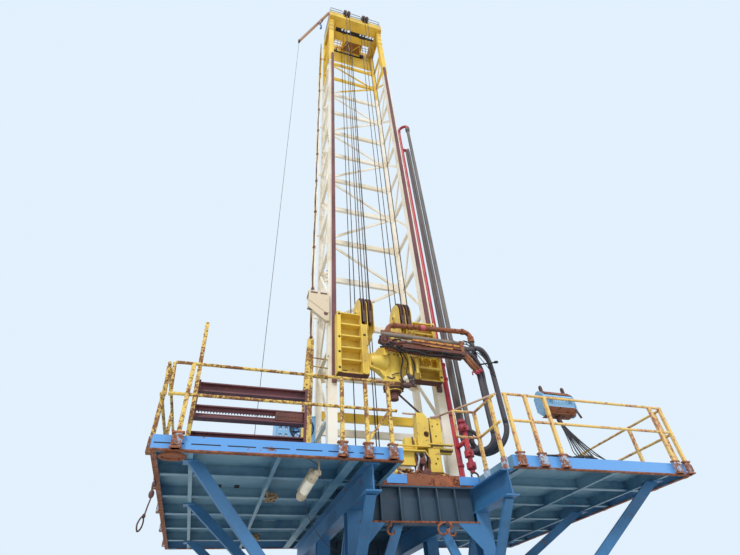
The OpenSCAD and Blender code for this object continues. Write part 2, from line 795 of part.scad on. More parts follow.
// Guard rail round the crown; its front is in three parts, between and beside the sheave pairs
module crown_guardrail() {
    x = mast_half - 25;
    yf = mast_fy - 100;
    yb = mast_by - 25;
    r = 20;
    top = 700;
    mid = 370;
    gap = sheave_pitch + 45;
    front = [[-x, -pair_off - gap], [-pair_off + gap, pair_off - gap], [pair_off + gap, x]];
    color("silver") translate([mast_x, 0, crown_top]) {
        for (part = front, p = part) translate([p, yf, 0]) cylinder(r = r, h = top + r, $fn = 24);
        for (p = [-x, 0, x]) translate([p, yb, 0]) cylinder(r = r, h = top + r, $fn = 24);
        for (h = [mid, top]) {
            for (part = front) rod([part[0], yf, h], [part[1], yf, h], r);
            rod([-x, yb, h], [x, yb, h], r);
            for (s = [-x, x]) rod([s, yf, h], [s, yb, h], r);
        }
    }
}

// Jib from the crown's front left corner to the rear left, with a small sheave at its tip
jib_root = [mast_x - mast_half - 60, mast_fy - 80, crown_top - 80];
jib_tip = jib_root + [-0.575 * jib_l, 0.818 * jib_l, -100];

module jib() {
    color(yellow) {
        box(mast_x - mast_half - 40, mast_x - mast_half, mast_fy - 150, mast_fy + 300, platform_z, crown_top - 20);
        bar(jib_root, jib_tip, 160, 110);
        translate(jib_tip + [-20, 0, -60]) rotate([0, 90, 0]) cylinder(r = 90, h = 40, $fn = 32);
        hook = jib_root + 0.27 * (jib_tip - jib_root);
        translate(hook) box(-45, 45, -30, 30, -300, -60);
    }
}

module catline() {
    color("gray") translate([jib_tip[0], jib_tip[1], floor_top])
        cylinder(r = 7, h = jib_tip[2] - 150 - floor_top, $fn = 16);
}

// Carriage

// Ribbed channel frame that runs on one guide rail
module carriage_frame() {
    y1 = frame_back;
    y0 = y1 - frame_d;
    z0 = frame_z;
    z1 = frame_z + frame_h;
    pitch = (frame_h - frame_t) / frame_bays;
    post = 150;
    // the upper part starts further out, clear of the sheaves
    cut = z1 - 300;
    box(frame_in, frame_out, y1 - frame_t, y1, z0, cut);
    box(frame_in + post, frame_out, y1 - frame_t, y1, cut - 1, z1);
    box(frame_out - frame_t, frame_out, y0, y1, z0, z1);
    box(frame_in, frame_in + post, y0, y1, z0, cut);
    for (i = [0 : frame_bays]) {
        z = z0 + i * pitch;
        box(z > cut - frame_t ? frame_in + post : frame_in, frame_out, y0 + 40, y1, z, z + frame_t);
    }
    box(frame_out - frame_t - 60, frame_out, y0, y0 + frame_t, z0, z1);
    // guide shoes on both sides of the rail
    for (z = [z0, z1 - 260]) {
        box(guide_off - guide_w / 2 - run_gap - 45, guide_off - guide_w / 2 - run_gap,
            y1, mast_fy - run_gap, z, z + 260);
    }
    // cheeks of the sheave block
    for (c = [-1, 0, 1]) {
        x = pair_off + c * sheave_pitch;
        translate([x - cheek_t / 2, sheave_y, block_z]) rotate([0, 90, 0]) cylinder(r = cheek_r, h = cheek_t, $fn = 48);
        box(x - cheek_t / 2, x + cheek_t / 2, sheave_y - cheek_r, sheave_y + cheek_r - 60,
            block_z - sheave_r - 300, block_z);
    }
    translate([pair_off - sheave_pitch, sheave_y, block_z]) rotate([0, 90, 0])
        cylinder(r = shaft_r, h = 2 * sheave_pitch, $fn = 32);
    box(pair_off - sheave_pitch - cheek_t / 2, frame_in + post, frame_back - frame_t, sheave_y + 200,
        block_z - sheave_r - 400, block_z - sheave_r - 60);
}

module carriage_right_frame() {
    color(yellow) translate([mast_x, 0, 0]) {
        carriage_frame();
        // step in front of the frame
        y = frame_back - frame_d;
        step_z = frame_z + 180;
        for (x = [frame_in + 30, frame_in + 300, frame_in + 560]) box(x, x + 40, y - 180, y, step_z + 40, step_z + 80);
        for (x = [frame_in + 30, frame_in + 560]) box(x, x + 40, y - 180, y - 140, step_z + 40, step_z + 330);
        box(frame_in + 30, frame_in + 600, y - 180, y - 140, step_z, step_z + 40);
        box(frame_in + 30, frame_in + 600, y - 180, y - 140, step_z + 290, step_z + 330);
    }
}

module carriage_left_frame() {
    color(yellow) translate([mast_x, 0, 0]) mirror([1, 0, 0]) carriage_frame();
}

module travelling_sheaves_left() { color(dark) sheave_pair(-1, block_z); }
module travelling_sheaves_right() { color(dark) sheave_pair(1, block_z); }

module top_drive() {
    color(yellow) translate([mast_x, -well_y, 0]) {
        difference() {
            union() {
                translate([0, 0, drive_z]) cylinder(r = drive_r, h = drive_top - drive_z, $fn = 64);
                translate([0, 0, drive_z]) cylinder(r = drive_r + 25, h = 60, $fn = 64);
                translate([0, 0, drive_z - 60]) cylinder(r = drive_r - 20, h = 60, $fn = 64);
                translate([0, 0, drive_top]) cylinder(r = 150, h = 200, $fn = 48);
            }
            translate([0, 0, drive_z - 61]) cylinder(r = 70.1, h = 461, $fn = 48);
        }
        // lugs to the carriage frames
        for (side = [-1, 1]) translate([0, 130, 0]) rotate([90, 0, 0]) linear_extrude(60)
            polygon([[side * 120, drive_z + 250], [side * frame_in, drive_z + 620],
                [side * frame_in, drive_z + 860], [side * 120, drive_top - 60]]);
    }
}

module quill() {
    color(dark) translate([mast_x, -well_y, 0]) {
        translate([0, 0, drive_z - 150]) cylinder(r = 70, h = 350, $fn = 48);
        translate([0, 0, drive_z - 230]) cylinder(r = 88, h = 130, $fn = 48);
    }
}

// Rust-brown pipe from the top drive to the mud hose, with an elbow at each end
wash_x = mast_x - 60;
wash_y = -well_y - 125;
wash_bend = 170;
fitting = 120;
collar = 16;

// Quarter bend with its axis along Y, from pointing down at x = 0 to pointing at +x; r is the pipe's
module quarter_bend(bend, r) {
    translate([bend, 0, -bend]) rotate([90, 0, 180]) rotate_extrude(angle = 90, $fn = 48)
        translate([bend, 0]) circle(r = r, $fn = 32);
}

module gooseneck_pipe() {
    turn = atan2(mud_b[1] - wash_y, mud_b[0] - wash_x);
    run = norm([mud_b[0] - wash_x, mud_b[1] - wash_y]);
    bend_z = wash_z - wash_bend;
    base = drive_top + 200;
    color(rust) translate([wash_x, wash_y, 0]) {
        translate([0, 0, base]) cylinder(r = wash_r, h = bend_z - base - 10, $fn = 32);
        translate([0, 0, bend_z - 40]) cylinder(r = wash_r + collar, h = 60, $fn = 32);
        rotate([0, 0, turn]) {
            translate([0, 0, wash_z]) quarter_bend(wash_bend, wash_r - 2);
            translate([wash_bend + 10, 0, wash_z]) rotate([0, 90, 0])
                cylinder(r = wash_r, h = run - 2 * wash_bend - 20, $fn = 32);
            for (x = [wash_bend - 20, run - wash_bend - 40]) translate([x, 0, wash_z]) rotate([0, 90, 0])
                cylinder(r = wash_r + collar, h = 60, $fn = 32);
            translate([run, 0, wash_z]) mirror([1, 0, 0]) quarter_bend(wash_bend, wash_r - 2);
            translate([run, 0, bend_z - fitting]) cylinder(r = wash_r + collar, h = fitting + 20, $fn = 32);
        }
    }
}

// Place of the top drive's front face at sideways place x
function housing_y(x) = -well_y - sqrt(drive_r * drive_r - (x - mast_x) * (x - mast_x)) - skin_gap;

// Beams that reach to the right and carry the service loop; a wrapped pipe lies above them
module service_arm() {
    x0 = mast_x - 400;
    x1 = loop_b[0] - 850;
    z = arm_z;
    color(rust) {
        box(x0, x1, arm_y - 60, arm_y, z, z + 80);
        box(x0, x1, arm_y + 60, arm_y + 120, z + 80, z + 160);
        box(x0 + 200, x1, arm_y - 30, arm_y + 90, z - 90, z - 40);
        box(mast_x - 190, mast_x - 110, arm_y - 60, housing_y(mast_x - 110), z + 80, z + 140);
        box(mast_x + 50, mast_x + 130, arm_y - 60, housing_y(mast_x + 50), z + 20, z + 80);
        for (x = [x0 + 300, x1 - 160]) box(x, x + 80, arm_y - 60, arm_y + 120, z - 90, z + 140);
        rod([x0 + 40, arm_y - 20, z + 330], [x1, arm_y - 20, z + 240], 32);
        for (x = [x0 + 100, x1 - 120]) box(x - 20, x + 20, arm_y - 50, arm_y - 10, z + 70, z + 310);
        box(x1, x1 + 80, arm_y - 100, arm_y + 160, z - 90, z + 280);
    }
}

module drill_lines() {
    color(dark) for (side = [-1, 1], c = [-0.5, 0.5], s = [-1, 1])
        translate([mast_x + side * pair_off + c * sheave_pitch, sheave_y + s * (line_y + 0.3), block_z])
            cylinder(r = line_d / 2, h = crown_axis_z - block_z, $fn = 13);
}

// Fast line, dead line and sand line from the crown's platform down to the winch
fast_x = [-420, 80, 150];
fast_y = 195;

module fast_lines() {
    color(dark) for (x = fast_x) translate([mast_x + x, fast_y, floor_top + winch_h])
        cylinder(r = line_d / 2, h = platform_z - floor_top - winch_h, $fn = 13);
}

// Standpipe, manifold and hoses

module standpipe() {
    dx = mud_a[0] - stand_x;
    dy = mud_a[1] - stand_y;
    bend = norm([dx, dy]) / 2;
    leg_x = mast_x + mast_half;
    color(red) {
        translate([stand_x, stand_y, floor_top]) cylinder(r = stand_r, h = stand_top - floor_top - 10, $fn = 32);
        translate([stand_x, stand_y, floor_top]) cylinder(r = stand_r + 25, h = 2900, $fn = 32);
        translate([stand_x, stand_y, stand_top - 40]) cylinder(r = stand_r + collar, h = 60, $fn = 32);
        translate([stand_x, stand_y, stand_top]) rotate([0, 0, atan2(dy, dx)]) translate([bend, 0, 0])
            rotate([90, 0, 0]) rotate_extrude(angle = 180, $fn = 64) translate([bend, 0])
                circle(r = stand_r - 2, $fn = 32);
        translate([mud_a[0], mud_a[1], mud_hang]) cylinder(r = stand_r + collar, h = stand_top - mud_hang + 20, $fn = 32);
        for (i = [0 : 5]) box(leg_x, stand_x, stand_y - 30, stand_y + 30, 7400 + i * 1900, 7480 + i * 1900);
        // bracket that holds the service loop's upper end
        box(leg_x, loop_a[0] + 90, loop_a[1] - 40, loop_a[1] + 40, loop_hang, loop_hang + 80);
        intersection() {
            bar([leg_x - 20, loop_a[1], loop_hang - 480], [loop_a[0] - loop_r - 40, loop_a[1], loop_hang + 10], 60, 40);
            box(leg_x, loop_a[0] - loop_r - 5, loop_a[1] - 30, loop_a[1] + 30, loop_hang - 600, loop_hang + 1);
        }
    }
}

module manifold() {
    x = stand_x;
    y = stand_y - 480;
    z = floor_top + 900;
    color(red) {
        difference() {
            rod([stand_x, stand_y, z], [x, y, z], 45);
            translate([stand_x, stand_y, z - 60]) cylinder(r = stand_r + 25 + skin_gap, h = 120, $fn = 32);
        }
        translate([x, y, floor_top + 250]) cylinder(r = 50, h = 1050, $fn = 32);
        for (up = [330, 560, 1080]) translate([x, y, floor_top + up]) cylinder(r = 95, h = 110, $fn = 32);
    }
}

// Tube through a list of points; first and last are the directions at its ends
function unit(v) = v / norm(v);
function ring(p, dir, side, r, n) = let (u = unit(side - (side * dir) * dir), w = cross(dir, u))
    [for (i = [0 : n - 1]) p + r * (cos(360 * i / n) * u + sin(360 * i / n) * w)];

module tube(pts, r, first, last) {
    m = len(pts);
    n = sides;
    dirs = [for (i = [0 : m - 1]) i == 0 ? first : i == m - 1 ? last :
        unit(unit(pts[i + 1] - pts[i]) + unit(pts[i] - pts[i - 1]))];
    out = cross(pts[1] - pts[0], pts[m - 1] - pts[0]);
    ref = norm(out) < 1 ? [0, 1, 0] : unit(out);
    verts = [for (i = [0 : m - 1]) each ring(pts[i], dirs[i], ref, r, n)];
    faces = concat([[for (k = [n - 1 : -1 : 0]) n - 1 - k]],
        [for (i = [0 : m - 2], k = [0 : n - 1]) [i * n + k, (i + 1) * n + k, (i + 1) * n + (k + 1) % n, i * n + (k + 1) % n]],
        [[for (k = [n - 1 : -1 : 0]) (m - 1) * n + k]]);
    polyhedron(verts, faces, convexity = 4);
}

// Half round bend between two vertical legs, from plan point a to plan point b
function bend_points(a, b, z, n) = let (c = (a + b) / 2, h = (b - a) / 2, r = norm(h))
    [for (i = [0 : n]) let (t = 180 * i / n) [c[0] - cos(t) * h[0], c[1] - cos(t) * h[1], z - sin(t) * r]];

module mud_hose_long() {
    color(dark) translate([mud_a[0], mud_a[1], mud_z]) cylinder(r = mud_r, h = mud_hang - mud_z, $fn = sides);
}
module mud_hose_bend() {
    color(dark) tube(bend_points(mud_a, mud_b, mud_z - skin_gap, 12), mud_r, [0, 0, -1], [0, 0, 1]);
}
module mud_hose_short() {
    color(dark) translate([mud_b[0], mud_b[1], mud_z])
        cylinder(r = mud_r, h = wash_z - wash_bend - fitting - skin_gap - mud_z, $fn = sides);
}

module service_loop_long() {
    color(dark) translate([loop_a[0], loop_a[1], loop_z]) cylinder(r = loop_r, h = loop_hang - loop_z, $fn = sides);
}
module service_loop_bend() {
    color(dark) tube(bend_points(loop_a, loop_b, loop_z - skin_gap, 16), loop_r, [0, 0, -1], [0, 0, 1]);
}

// Points of the service loop from its right leg up and over to the arm's end
loop_over = [[0, 0, loop_z], [0, 0, arm_z - 1020], [0, -5, arm_z - 520], [-15, -15, arm_z - 170],
    [-70, -35, arm_z + 80], [-170, -65, arm_z + 210], [-290, -95, arm_z + 240], [-430, -118, arm_z + 210],
    [-600, -128, arm_z + 165], [-770 + skin_gap, -130, arm_z + 140]];

module service_loop_short() {
    color(dark) translate([loop_b[0], loop_b[1], 0]) tube(loop_over, loop_r, [0, 0, 1], [-1, 0, 0]);
}

left_base_skid();
right_base_skid();
base_cross_beams();
left_column_frame();
right_column_frame();
front_frame();
rear_frame();
wing_braces();
left_wing_deck();
centre_deck();
recess_decks();
right_wing_deck();
rotary_table();
left_front_handrail();
left_side_handrail();
rear_handrail();
right_side_handrail();
right_front_handrail();
recess_handrail();
beam_rack();
leaning_pole();
cooler_box();
cooler_fan();
junction_box();
floor_tongs();
winch_cover();
side_post();
deck_lamp();
mast_left_side();
mast_right_side();
mast_back();
guide_rails();
mast_ladder();
ladder_landing();
mast_base_beam();
crown_frame();
crown_sheaves_left();
crown_sheaves_right();
crown_guardrail();
jib();
catline();
carriage_left_frame();
carriage_right_frame();
travelling_sheaves_left();
travelling_sheaves_right();
top_drive();
quill();
gooseneck_pipe();
service_arm();
drill_lines();
fast_lines();
standpipe();
manifold();
mud_hose_long();
mud_hose_bend();
mud_hose_short();
service_loop_long();
service_loop_bend();
service_loop_short();
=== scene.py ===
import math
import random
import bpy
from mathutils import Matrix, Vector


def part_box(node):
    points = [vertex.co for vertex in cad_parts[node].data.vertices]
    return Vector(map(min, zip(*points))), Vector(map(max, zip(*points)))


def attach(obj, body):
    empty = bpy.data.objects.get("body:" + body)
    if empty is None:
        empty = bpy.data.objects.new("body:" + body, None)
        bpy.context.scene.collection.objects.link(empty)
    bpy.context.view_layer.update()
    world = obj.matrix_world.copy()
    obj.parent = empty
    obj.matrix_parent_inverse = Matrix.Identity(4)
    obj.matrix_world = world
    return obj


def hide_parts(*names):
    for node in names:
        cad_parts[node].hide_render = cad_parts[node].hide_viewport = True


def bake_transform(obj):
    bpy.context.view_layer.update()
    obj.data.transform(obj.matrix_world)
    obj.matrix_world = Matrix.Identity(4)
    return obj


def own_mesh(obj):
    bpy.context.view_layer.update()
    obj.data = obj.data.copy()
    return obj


bl_info = {
    "name": "Oil drilling rig",
    "version": (1, 0, 0),
    "blender": (4, 5, 0),
    "location": "View3D > Sidebar > Drilling rig",
    "description": "Dresses the drilling rig's frame with paint, rust, hoses, pipework and fittings",
    "category": "Object",
}

import bmesh
import bpy
from bpy.props import FloatProperty, FloatVectorProperty, PointerProperty
from mathutils import Matrix, Vector

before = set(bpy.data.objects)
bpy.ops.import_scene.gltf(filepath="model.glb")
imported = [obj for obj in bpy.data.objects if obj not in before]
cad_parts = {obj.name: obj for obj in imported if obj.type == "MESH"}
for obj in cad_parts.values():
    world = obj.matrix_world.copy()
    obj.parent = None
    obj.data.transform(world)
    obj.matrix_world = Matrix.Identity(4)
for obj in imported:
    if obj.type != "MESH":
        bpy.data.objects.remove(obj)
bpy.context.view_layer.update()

# Places and sizes that the pieces share, in metres; those that belong to a node are read from the frame
DECK_LO, DECK_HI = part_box("left_wing_deck")
RIGHT_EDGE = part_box("right_wing_deck")[1].x
FLOOR = DECK_HI.z
UNDER = DECK_LO.z
LEFT_EDGE = DECK_LO.x
FRONT = DECK_LO.y
MAST_X = (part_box("guide_rails")[0].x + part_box("guide_rails")[1].x) / 2
MAST_HALF = 1.37
MAST_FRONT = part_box("guide_rails")[1].y
MAST_BACK = MAST_FRONT + 1.45
CROWN_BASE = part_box("mast_left_side")[1].z
CROWN_TOP = CROWN_BASE + 2.0
PLATFORM = CROWN_TOP - 0.45
FIRST_GIRT = 5.47
GIRT_PITCH = (CROWN_BASE - 0.5 - FIRST_GIRT) / 12
FRAME_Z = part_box("carriage_left_frame")[0].z
FRAME_TOP = 7.9
FRAME_FRONT = -1.42
FRAME_OUT = 1.235
FRAME_IN = 0.525
WELL_Y = -1.395
DRIVE_Z = 6.0
DRIVE_TOP = 7.05
STAND = Vector((MAST_X + MAST_HALF + 0.095, MAST_FRONT + 0.1, 0))
MUD_A = (STAND.x + 0.26, STAND.y - 0.25)
MUD_B = (STAND.x + 0.565, STAND.y - 0.65)
MUD_Z = 5.06
LOOP_A = (STAND.x + 0.235, STAND.y + 0.07)
LOOP_B = (STAND.x + 0.905, STAND.y - 0.69)
LOOP_Z = 5.3
SECOND_Z = 5.14
MUD_TOP = 17.2
LOOP_TOP = 16.3
MUD_RADIUS = 0.057
LOOP_RADIUS = 0.058
SECOND_RADIUS = 0.048
ARM_Z = DRIVE_TOP - 0.23
SHEAVE_X = 0.495
SHEAVE_SPACING = 0.16
LINE_RADIUS = 0.013
YELLOW_FROM = 22.1
SPLICES = (9.3, 15.8, 22.1)
RECESS_BACK = -2.0
GIRDER_Y = -1.95
ARM_Y = -1.87

# The photo's camera: where it stands, its lens, and the directions of its right side, its top and its view
CAMERA_AT = (-3.715, -9.6, 1.6)
CAMERA_LENS = 21.75
CAMERA_RIGHT = Vector((0.9538, -0.2951, -0.0569))
CAMERA_UP = Vector((-0.1521, -0.6372, 0.7555))
CAMERA_LOOK = Vector((0.2593, 0.7119, 0.6526))

# Colours of the stage, from 0 to 255: the sky that is seen, the sky's light, and the two tones of the ground
SKY_SEEN = (226, 241, 253)
SKY_LIGHT = (240, 247, 255)
GROUND_PALE = (222, 218, 210)
GROUND_DARK = (206, 202, 194)

# Lamps of the stage: name, direction of the light, strength, width in degrees
LAMPS = (("key", (0.45, 0.62, -0.75), 2.05, 12), ("fill", (-0.8, 0.5, -0.25), 0.7, 40))


def linear(red, green, blue):
    """Turns a colour from 0 to 255 into Blender's linear numbers."""
    def channel(value):
        share = value / 255
        return share / 12.92 if share <= 0.04045 else ((share + 0.055) / 1.055) ** 2.4

    return (channel(red), channel(green), channel(blue))


def colour(name, text, rgb):
    """A colour property whose default is given from 0 to 255."""
    return FloatVectorProperty(name=name, description=text, default=linear(*rgb), size=3, min=0, max=1,
                               subtype="COLOR")


class RigPaint(bpy.types.PropertyGroup):
    """Colours of the rig's finishes"""
    edge_blue: colour("Edge blue", "Paint on the floor's edge channels", (88, 148, 210))
    steel_blue: colour("Steel blue", "Paint on the columns, girders and braces", (54, 112, 160))
    under_blue: colour("Underside blue", "Paint on the floor's underside", (108, 148, 170))
    rail_yellow: colour("Rail yellow", "Paint on the handrails", (216, 184, 92))
    mast_cream: colour("Mast cream", "Paint on the mast below its top bays", (238, 230, 214))
    crown_yellow: colour("Crown yellow", "Paint on the crown and the mast's top bays", (234, 194, 70))
    carriage_yellow: colour("Carriage yellow", "Paint on the carriage and the top drive", (224, 192, 80))
    maroon: colour("Maroon", "Paint on the guide rails and the rack's beams", (112, 66, 70))
    pipe_red: colour("Pipe red", "Paint on the standpipe and its valves", (190, 48, 62))
    rust: colour("Rust", "Rusted steel", (134, 82, 56))
    hose: colour("Hose", "Rubber of the large hoses", (62, 58, 66))


class RigSizes(bpy.types.PropertyGroup):
    """Sizes of the small parts"""
    bolt: FloatProperty(name="Bolt radius", description="Radius of the bolt heads on the carriage",
                        default=0.018, min=0.005, max=0.04, unit="LENGTH")
    cable: FloatProperty(name="Cable radius", description="Radius of the thin black cables", default=0.011,
                         min=0.004, max=0.03, unit="LENGTH")


class Nodes:
    """Adds shader nodes to a material and links them."""

    def __init__(self, name):
        self.material = bpy.data.materials.new(name)
        self.material.use_nodes = True
        self.tree = self.material.node_tree
        self.tree.nodes.clear()
        self.shader = self.tree.nodes.new("ShaderNodeBsdfPrincipled")
        out = self.tree.nodes.new("ShaderNodeOutputMaterial")
        self.tree.links.new(self.shader.outputs[0], out.inputs[0])
        self.place = self.tree.nodes.new("ShaderNodeTexCoord").outputs["Object"]

    def link(self, source, target):
        self.tree.links.new(source, target)

    def noise(self, scale, detail=4.0, rough=0.55, stretch=None, distort=0.0):
        where = self.place
        if stretch:
            mapping = self.tree.nodes.new("ShaderNodeMapping")
            mapping.inputs["Scale"].default_value = stretch
            self.link(where, mapping.inputs["Vector"])
            where = mapping.outputs[0]
        node = self.tree.nodes.new("ShaderNodeTexNoise")
        node.inputs["Scale"].default_value = scale
        node.inputs["Detail"].default_value = detail
        node.inputs["Roughness"].default_value = rough
        node.inputs["Distortion"].default_value = distort
        self.link(where, node.inputs["Vector"])
        return node.outputs["Fac"]

    def span(self, source, low, high, to_low=0.0, to_high=1.0):
        node = self.tree.nodes.new("ShaderNodeMapRange")
        node.interpolation_type = "SMOOTHSTEP"
        node.inputs["From Min"].default_value = low
        node.inputs["From Max"].default_value = high
        node.inputs["To Min"].default_value = to_low
        node.inputs["To Max"].default_value = to_high
        self.link(source, node.inputs["Value"])
        return node.outputs["Result"]

    def sum(self, kind, a, b):
        node = self.tree.nodes.new("ShaderNodeMath")
        node.operation = kind
        for socket, value in ((node.inputs[0], a), (node.inputs[1], b)):
            if isinstance(value, (int, float)):
                socket.default_value = value
            else:
                self.link(value, socket)
        return node.outputs[0]

    def mix(self, share, a, b):
        node = self.tree.nodes.new("ShaderNodeMix")
        node.data_type = "RGBA"
        self.link(share, node.inputs["Factor"])
        for socket, value in ((node.inputs["A"], a), (node.inputs["B"], b)):
            if isinstance(value, (tuple, list)):
                socket.default_value = (*value[:3], 1)
            else:
                self.link(value, socket)
        return node.outputs["Result"]

    def axis(self, name):
        node = self.tree.nodes.new("ShaderNodeSeparateXYZ")
        self.link(self.place, node.inputs[0])
        return node.outputs[name]

    def bump(self, height, strength, distance):
        node = self.tree.nodes.new("ShaderNodeBump")
        node.inputs["Strength"].default_value = strength
        node.inputs["Distance"].default_value = distance
        self.link(height, node.inputs["Height"])
        self.link(node.outputs[0], self.shader.inputs["Normal"])


def painted(name, paint, worn, rust, share=0.3, rough=0.5, size=1.0, runs=0.5, above=None, below=None,
            lip=None, edge=None):
    """Weathered paint: broad faded patches, rust specks and runs, and a rough bumpy surface on the rust.

    share is how much of the surface has rusted. above and below are (height, colour) where the paint changes,
    lip is a (low, high) band that is rusty, and edge is a colour for the floor's outer faces."""
    if name in bpy.data.materials:
        return bpy.data.materials[name]
    n = Nodes(name)
    patches = n.noise(0.9 / size, 5, 0.62)
    specks = n.noise(6.5 / size, 8, 0.7, distort=0.4)
    streaks = n.noise(1.0 / size, 5, 0.6, stretch=(11, 11, 0.9))
    coat = n.mix(n.span(patches, 0.42, 0.66), paint, worn)
    height = n.axis("Z")
    if above:
        top = n.mix(n.span(patches, 0.42, 0.66), above[1], tuple(0.82 * v for v in above[1]))
        coat = n.mix(n.span(height, above[0] - 0.05, above[0] + 0.05), coat, top)
    if below:
        coat = n.mix(n.span(height, below[0] + 0.004, below[0]), coat, below[1])
    if edge:
        out_y = n.span(n.sum("ABSOLUTE", n.axis("Y"), 0), -FRONT - 0.016, -FRONT - 0.012)
        out_x = n.span(n.sum("ABSOLUTE", n.axis("X"), 0), RIGHT_EDGE - 0.016, RIGHT_EDGE - 0.012)
        outer = n.sum("MAXIMUM", out_x, out_y)
        coat = n.mix(outer, coat, edge)
    wear = n.sum("ADD", n.sum("MULTIPLY", specks, 0.62), n.sum("MULTIPLY", patches, 0.38 - 0.2 * runs))
    wear = n.sum("ADD", wear, n.sum("MULTIPLY", streaks, 0.2 * runs))
    if below:
        wear = n.sum("ADD", wear, n.span(height, below[0] + 0.004, below[0], 0, 0.05))
    if edge:
        wear = n.sum("ADD", wear, n.sum("MULTIPLY", outer, 0.025))
    if lip:
        low = n.span(height, lip[1], lip[0], 0, 0.22)
        outer_y = n.span(n.sum("ABSOLUTE", n.axis("Y"), 0), -FRONT - 0.1, -FRONT - 0.06)
        outer_x = n.span(n.sum("ABSOLUTE", n.axis("X"), 0), RIGHT_EDGE - 0.1, RIGHT_EDGE - 0.06)
        wear = n.sum("ADD", wear, n.sum("MULTIPLY", low, n.sum("MAXIMUM", outer_x, outer_y)))
    level = 0.68 - 0.32 * share
    rusted = n.span(wear, level - 0.018, level + 0.03)
    rust_tone = n.mix(n.span(n.noise(14 / size, 6, 0.65), 0.35, 0.68), tuple(0.52 * v for v in rust),
                      tuple(min(1, 1.35 * v) for v in rust))
    n.link(n.mix(rusted, coat, rust_tone), n.shader.inputs["Base Color"])
    n.link(n.span(rusted, 0, 1, rough, 0.88), n.shader.inputs["Roughness"])
    n.bump(n.sum("ADD", n.sum("MULTIPLY", rusted, 0.5), n.noise(38 / size, 5, 0.6)), 0.35, 0.004)
    return n.material


def bare_steel(name, tone, dark, rough=0.45, metal=0.7):
    """Oily steel with darker smears."""
    if name in bpy.data.materials:
        return bpy.data.materials[name]
    n = Nodes(name)
    smears = n.noise(5, 6, 0.6)
    n.link(n.mix(n.span(smears, 0.35, 0.65), tone, dark), n.shader.inputs["Base Color"])
    n.shader.inputs["Metallic"].default_value = metal
    n.link(n.span(smears, 0.3, 0.7, rough, min(1, rough + 0.3)), n.shader.inputs["Roughness"])
    n.bump(n.noise(60, 4, 0.6), 0.25, 0.002)
    return n.material


def rubber(name, tone, dusty, rough=0.55):
    """Hose rubber with dust on it and a fine wrapped texture."""
    if name in bpy.data.materials:
        return bpy.data.materials[name]
    n = Nodes(name)
    dust = n.noise(2.2, 6, 0.62, stretch=(2, 2, 0.5))
    n.link(n.mix(n.span(dust, 0.4, 0.7), tone, dusty), n.shader.inputs["Base Color"])
    n.link(n.span(dust, 0.35, 0.7, rough, 0.85), n.shader.inputs["Roughness"])
    n.bump(n.noise(1.0, 3, 0.5, stretch=(30, 30, 90)), 0.3, 0.003)
    return n.material


def glass(name, tone):
    """Clear moulded lamp glass with uneven dust."""
    if name in bpy.data.materials:
        return bpy.data.materials[name]
    n = Nodes(name)
    dust = n.noise(9, 5, 0.6)
    n.link(n.mix(n.span(dust, 0.4, 0.7), tone, tuple(0.8 * v for v in tone)), n.shader.inputs["Base Color"])
    clear = 0.12
    n.link(n.span(dust, 0.3, 0.7, clear, clear + 0.35), n.shader.inputs["Roughness"])
    n.shader.inputs["Coat Weight"].default_value = 0.5
    n.bump(n.noise(26, 3, 0.5), 0.3, 0.002)
    return n.material


